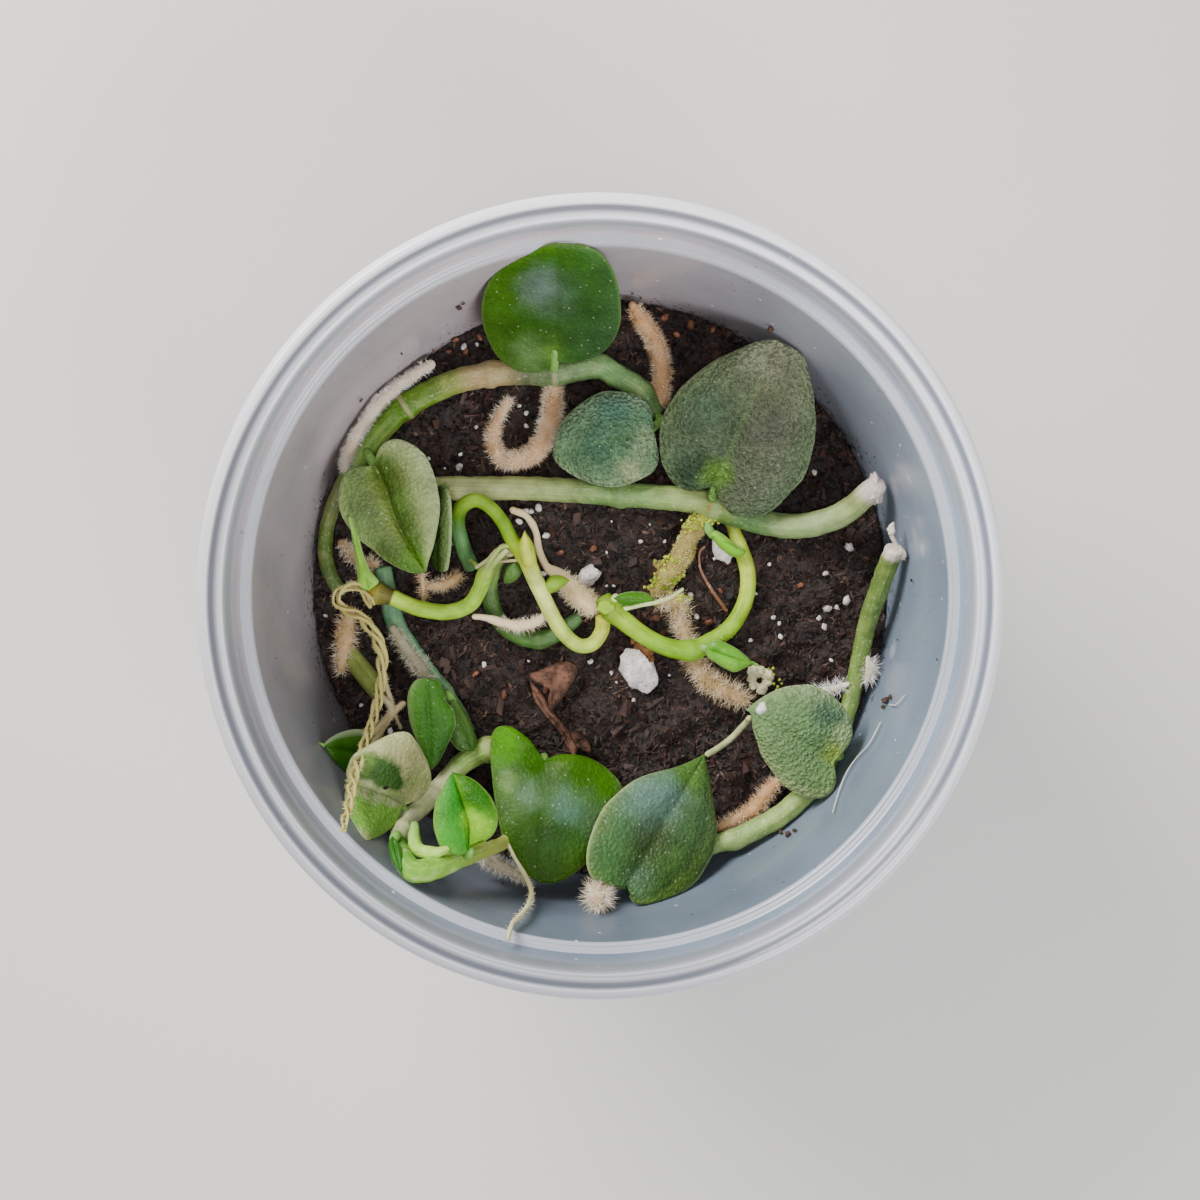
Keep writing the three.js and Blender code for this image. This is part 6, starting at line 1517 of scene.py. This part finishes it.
leaves["leaf_mottled"] = dict(
    shape=dict(
        apex=(345, 785), notch=(400, 805), heights=(53.6, 48), rises=(11, 2), arch=0.8, seed=13, rows=76,
        columns=24, puff=0.5,
        left=[(343, 800), (346, 818), (352, 832), (358, 843), (362, 845), (370, 841), (380, 836),
              (390, 829), (395, 822), (399, 812)],
        right=[(345, 772), (352, 757), (365, 748), (380, 740), (395, 734), (408, 734), (415, 742),
               (423, 755), (429, 770), (430, 783), (425, 793), (416, 799), (407, 801)]),
    stalk=[(-30.7, -34.8, 47.6), (-30.3, -35.8, 47.4)],
    skin=dict(across=[(0.0, 0xb8b888), (0.1, 0xacac70), (0.5, 0xb0b078), (0.9, 0xb8b880), (1.0, 0xc4c48c)],
              along=[(0.0, 0xa4a870), (0.5, 0xacac70), (1.0, 0xa4b468)], along_share=0.25, rib_share=0.0,
              patches=[(370, 812, 53, 6.4, 0x74a440, 1.6), (388, 822, 53, 3.2, 0x74a440, 1.5),
                       (378, 774, 53, 4.6, 0x34581c, 2.2), (364, 766, 53, 3.0, 0x5c7c30, 1.2),
                       (392, 782, 52, 2.8, 0x34581c, 1.8), (366, 790, 53, 2.2, 0xa8b080, 1.2),
                       (380, 797, 52, 1.8, 0xa8b080, 1.2), (392, 802, 51, 1.6, 0xa8b080, 1.2),
                       (384, 791, 52, 0.6, 0x141c0c, 1.6), (358, 840, 58, 3.2, 0xb8bc84, 1.4),
                       (416, 784, 50, 3.0, 0x90a458, 0.7)],
              pebbles=0.4))
leaves["leaf_dark_tip"] = dict(
    shape=dict(
        apex=(399, 876), notch=(391, 839), heights=(66, 60.8), arch=0.3, seed=14, rows=36, columns=12,
        left=[(403, 868), (402, 858), (398, 847)], right=[(391, 866), (387, 857), (386, 846)]),
    stalk=[(-31, -36.6, 59), (-31, -37.8, 57)],
    skin=dict(across=[(0.0, 0x2f6a1a), (0.5, 0x2a5c18), (1.0, 0x356f20)],
              along=[(0.0, 0x1f4410), (1.0, 0x3f7a24)], pebbles=0.2, gloss=0.34))
print("leaves listed for the south half:", len(leaves) - north_leaves)

# %% Young leaves and bracts
leaves["leaf_bud"] = dict(
    shape=dict(
        apex=(753, 663), notch=(705, 648), heights=(38.8, 40), rises=(0.6, 0.6), arch=0.6, seed=15,
        rows=48, columns=14, crease=0.6,
        left=[(745, 668), (735, 672), (725, 668), (715, 662), (708, 657)],
        right=[(748, 658), (738, 650), (725, 643), (715, 640)]),
    stalk=[(16.8, -9.4, 39), (16, -9.6, 37.6)],
    strands=[[(752, 663, 38.9, 0.3), (758, 665, 39, 0.15)]],
    skin=dict(across=[(0.0, 0x86bc44), (0.45, 0x569c1c), (0.55, 0x468414), (1.0, 0x74b834)],
              along=[(0.0, 0x90c84c), (0.5, 0x60a420), (1.0, 0x56921c)], pebbles=0.15, gloss=0.34))
leaves["bract_west"] = dict(
    shape=dict(
        apex=(349, 516), notch=(368, 590), heights=(44.4, 41.4), rises=(0.8, 0.8), arch=0.3, seed=16,
        rows=50, columns=12, crease=0.5,
        left=[(352, 535), (355, 553), (357, 572), (359, 588)],
        right=[(355, 530), (361, 552), (368, 570), (377, 582)]),
    stalk=[(-37, 0.9, 40.8), (-36.6, 0, 40)],
    skin=dict(across=[(0.0, 0x8fc040), (0.5, 0x6fa82c), (1.0, 0x9acb50)],
              along=[(0.0, 0x9fb070), (0.4, 0x7fb52f), (1.0, 0x8fc03c)], pebbles=0.15, rim=0xb8d080))
leaves["bract_east"] = dict(
    shape=dict(
        apex=(745, 552), notch=(710, 533), heights=(38.6, 38.6), rises=(0.4, 0.4), arch=0.3, seed=17,
        rows=40, columns=12,
        left=[(741, 556), (733, 556), (721, 548), (713, 539)],
        right=[(742, 548), (735, 545), (722, 535), (715, 531)]),
    stalk=[(17.4, 10, 38), (17.4, 12, 37)],
    skin=dict(across=[(0.0, 0x6fb020), (0.5, 0x5fa818), (1.0, 0x8fc840)],
              along=[(0.0, 0x6fa828), (1.0, 0x8fc830)], pebbles=0.1))
leaves["leaf_small_dark"] = dict(
    shape=dict(
        apex=(654, 599), notch=(613, 598), heights=(39.8, 40.8), rises=(0.3, 0.3), arch=0.5, seed=18,
        rows=40, columns=12,
        left=[(650, 602), (640, 604), (628, 606), (619, 603)],
        right=[(648, 594), (640, 592), (628, 592), (618, 595)]),
    stalk=[(2.2, -1.8, 40.4), (1.2, -2.4, 39.8)],
    strands=[[(622, 609, 40.2, 0.45), (638, 605, 40.4, 0.4), (655, 602, 40, 0.4), (670, 597, 39, 0.3),
              (682, 589, 38, 0.25)]],
    skin=dict(across=[(0.0, 0x3c7a12), (0.5, 0x39521c), (1.0, 0x4f8a20)],
              along=[(0.0, 0x5f9a28), (1.0, 0x3c7a12)], pebbles=0.3, gloss=0.34, rib=0xdce4a4))
leaves["leaf_old"] = dict(
    shape=dict(
        apex=(386, 704), notch=(338, 639), heights=(35.8, 36.2), arch=0.4, seed=19, rows=50, columns=12,
        left=[(372, 700), (358, 684), (344, 664)], right=[(388, 690), (372, 668), (352, 645)]),
    stalk=[],
    skin=dict(across=[(0.0, 0x6f7540), (0.5, 0x86903f), (1.0, 0x8f9a50)],
              along=[(0.0, 0x7f9a50), (1.0, 0x8f9a50)], pebbles=0.2, gloss=0.5))
print("leaves and bracts listed:", len(leaves))

# %% A blade and a stalk for each leaf
STALK_PAST_NOTCH = 0.06  # share of the midrib that the stalk runs under
for name, leaf in leaves.items():
    parts = [blade(**leaf["shape"])]
    if leaf["stalk"]:
        apex, notch, heights = (leaf["shape"][key] for key in ("apex", "notch", "heights"))
        under = (STALK_PAST_NOTCH * spot(*apex, heights[0])
                 + (1 - STALK_PAST_NOTCH) * spot(*notch, heights[1]))
        parts.append(stalk([under - (0, 0, STALK_RADIUS), *leaf["stalk"]]))
    for route in leaf.get("strands", []):
        places, faces, _ = strand(route)
        parts.append((places, faces, np.tile([0.0, 1.0, 1.0], (len(places), 1))))
    finish = leaf_skin(name.replace("_", " ") + " cuticle", **leaf["skin"])
    piece = settle(name + "_blade", joined(parts), finish, [name])
    print(name, "faces:", len(piece.data.polygons))

# %% [markdown]
# ## The flake of bark
# A torn flake of red-brown bark lies crumpled on the soil. It is three thin scraps, each a blade with
# strong waves, joined where they touch.

# %% Three scraps of bark
CRUMPLED = dict(arch=0.3, puff=0.6, wave=1.3, pebble=0.5, rows=36, columns=12)
flake = joined([
    blade(apex=(551, 708), notch=(555, 664), heights=(35.4, 37), seed=20, **CRUMPLED,
          left=[(563, 697), (571, 684), (577, 672), (570, 664)],
          right=[(547, 700), (549, 688), (540, 684), (528, 674), (541, 670)]),
    blade(apex=(573, 759), notch=(529, 680), heights=(36.4, 35.6), seed=21, **CRUMPLED,
          left=[(578, 748), (568, 732), (554, 714), (540, 692)],
          right=[(567, 748), (558, 733), (545, 718), (534, 702)], rib=((562, 732), (548, 714), (537, 697))),
    blade(apex=(590, 753), notch=(570, 733), heights=(35.8, 36.2), seed=22, **CRUMPLED,
          left=[(589, 744), (580, 735)], right=[(580, 750), (572, 742)])])
settle("bark_flake_chip", flake, rough_finish("red-brown bark", 0x341c12, 0x805844, 0.9, 0.8, 0.9,
                                              0x20100a, 0.6), ["bark_flake"])
print("faces of the flake:", len(flake[1]))

# %% [markdown]
# ## Nothing passes through the wall
# A leaf's edge, a root's hairs or a shred that reaches the wall is stopped by it and lies flat on it.
# Each point near the inner face is moved inwards, the more the further it would have gone past. The
# inner face widens from the ledge to the collar above.

# %% Everything stays inside the tub
SQUEEZE = 0.5  # mm from the wall at which the pressing starts
COLLAR_RADIUS = 54
COLLAR_FOOT = 66.2
LEDGE_FOOT = 64.4
INSIDE = [(0, wall_radius(0)), (LEDGE_FOOT, wall_radius(LEDGE_FOOT)), (COLLAR_FOOT, COLLAR_RADIUS),
          (RIM_HEIGHT, COLLAR_RADIUS)]
pressed = 0
for piece in made_pieces:
    if piece.name == "milky_tub":
        continue
    places = np.empty(3 * len(piece.data.vertices))
    piece.data.vertices.foreach_get("co", places)
    places = places.reshape(-1, 3) / MM
    radius = np.maximum(np.hypot(places[:, 0], places[:, 1]), 1.0)
    start = np.interp(places[:, 2], *zip(*INSIDE)) - SQUEEZE
    past = np.maximum(radius - start, 0.0)
    inwards = np.where(past > 0, (start + SQUEEZE * (1 - np.exp(-past / SQUEEZE))) / radius, 1.0)
    places[:, :2] *= inwards[:, None]
    piece.data.vertices.foreach_set("co", (places * MM).ravel())
    piece.data.update()
    pressed += int((past > 0).sum())
print("points pressed inwards:", pressed)

# %% [markdown]
# ## Floor, light and camera
# The floor is plain and pale. A large soft light stands over the north-west, as a window would, a cooler
# and weaker one over the south-east and a faint one straight above. The camera looks almost straight down.

# %% Stage
FLOOR_REACH = 3.0  # metres to each side
floor_mesh = bpy.data.meshes.new("floor")
corners = [(x * FLOOR_REACH, y * FLOOR_REACH, 0) for x, y in [(-1, -1), (1, -1), (1, 1), (-1, 1)]]
floor_mesh.from_pydata(corners, [], [(0, 1, 2, 3)])
floor_object = bpy.data.objects.new("floor", floor_mesh)
bpy.context.scene.collection.objects.link(floor_object)
floor_mesh.materials.append(rough_finish("pale paper floor", 0xd4d2cf, 0xdad8d5, 40, 0.9, 0.0))

world = bpy.data.worlds.new("pale room")
world.use_nodes = True
background = world.node_tree.nodes["Background"]
background.inputs["Color"].default_value = (1.0, 0.98, 0.95, 1)
background.inputs["Strength"].default_value = 0.3
bpy.context.scene.world = world


def soft_light(name, place, target, size, watts, colour):
    """A square soft light in millimetres that faces its target."""
    lamp = bpy.data.lights.new(name, 'AREA')
    lamp.size = size * MM
    lamp.energy = watts
    lamp.color = colour
    light = bpy.data.objects.new(name, lamp)
    light.location = Vector(place) * MM
    light.rotation_euler = (Vector(target) - Vector(place)).to_track_quat('-Z', 'Y').to_euler()
    bpy.context.scene.collection.objects.link(light)


PLANT_MIDDLE = (0, 0, 40)
soft_light("daylight", (-330, 360, 360), PLANT_MIDDLE, 300, 7.0, (1.0, 0.97, 0.93))
soft_light("sky", (260, -330, 420), PLANT_MIDDLE, 300, 3.0, (0.98, 0.99, 1.0))
soft_light("overhead", (0, 0, 700), PLANT_MIDDLE, 200, 1.5, (1.0, 1.0, 1.0))
print("soft lights:", len(bpy.data.lights))

# %% Camera
LENS = 62.6
camera = bpy.data.objects.new("camera", bpy.data.cameras.new("camera"))
camera.data.lens = LENS
camera.data.sensor_width = 36
camera.data.clip_start = 0.01
camera.location = (0, CAMERA_NORTH * MM, CAMERA_HEIGHT * MM)
camera.rotation_euler = (-math.atan2(CAMERA_NORTH, CAMERA_HEIGHT - RIM_HEIGHT), 0, 0)
bpy.context.scene.collection.objects.link(camera)
bpy.context.scene.camera = camera
print("camera height in mm:", CAMERA_HEIGHT)
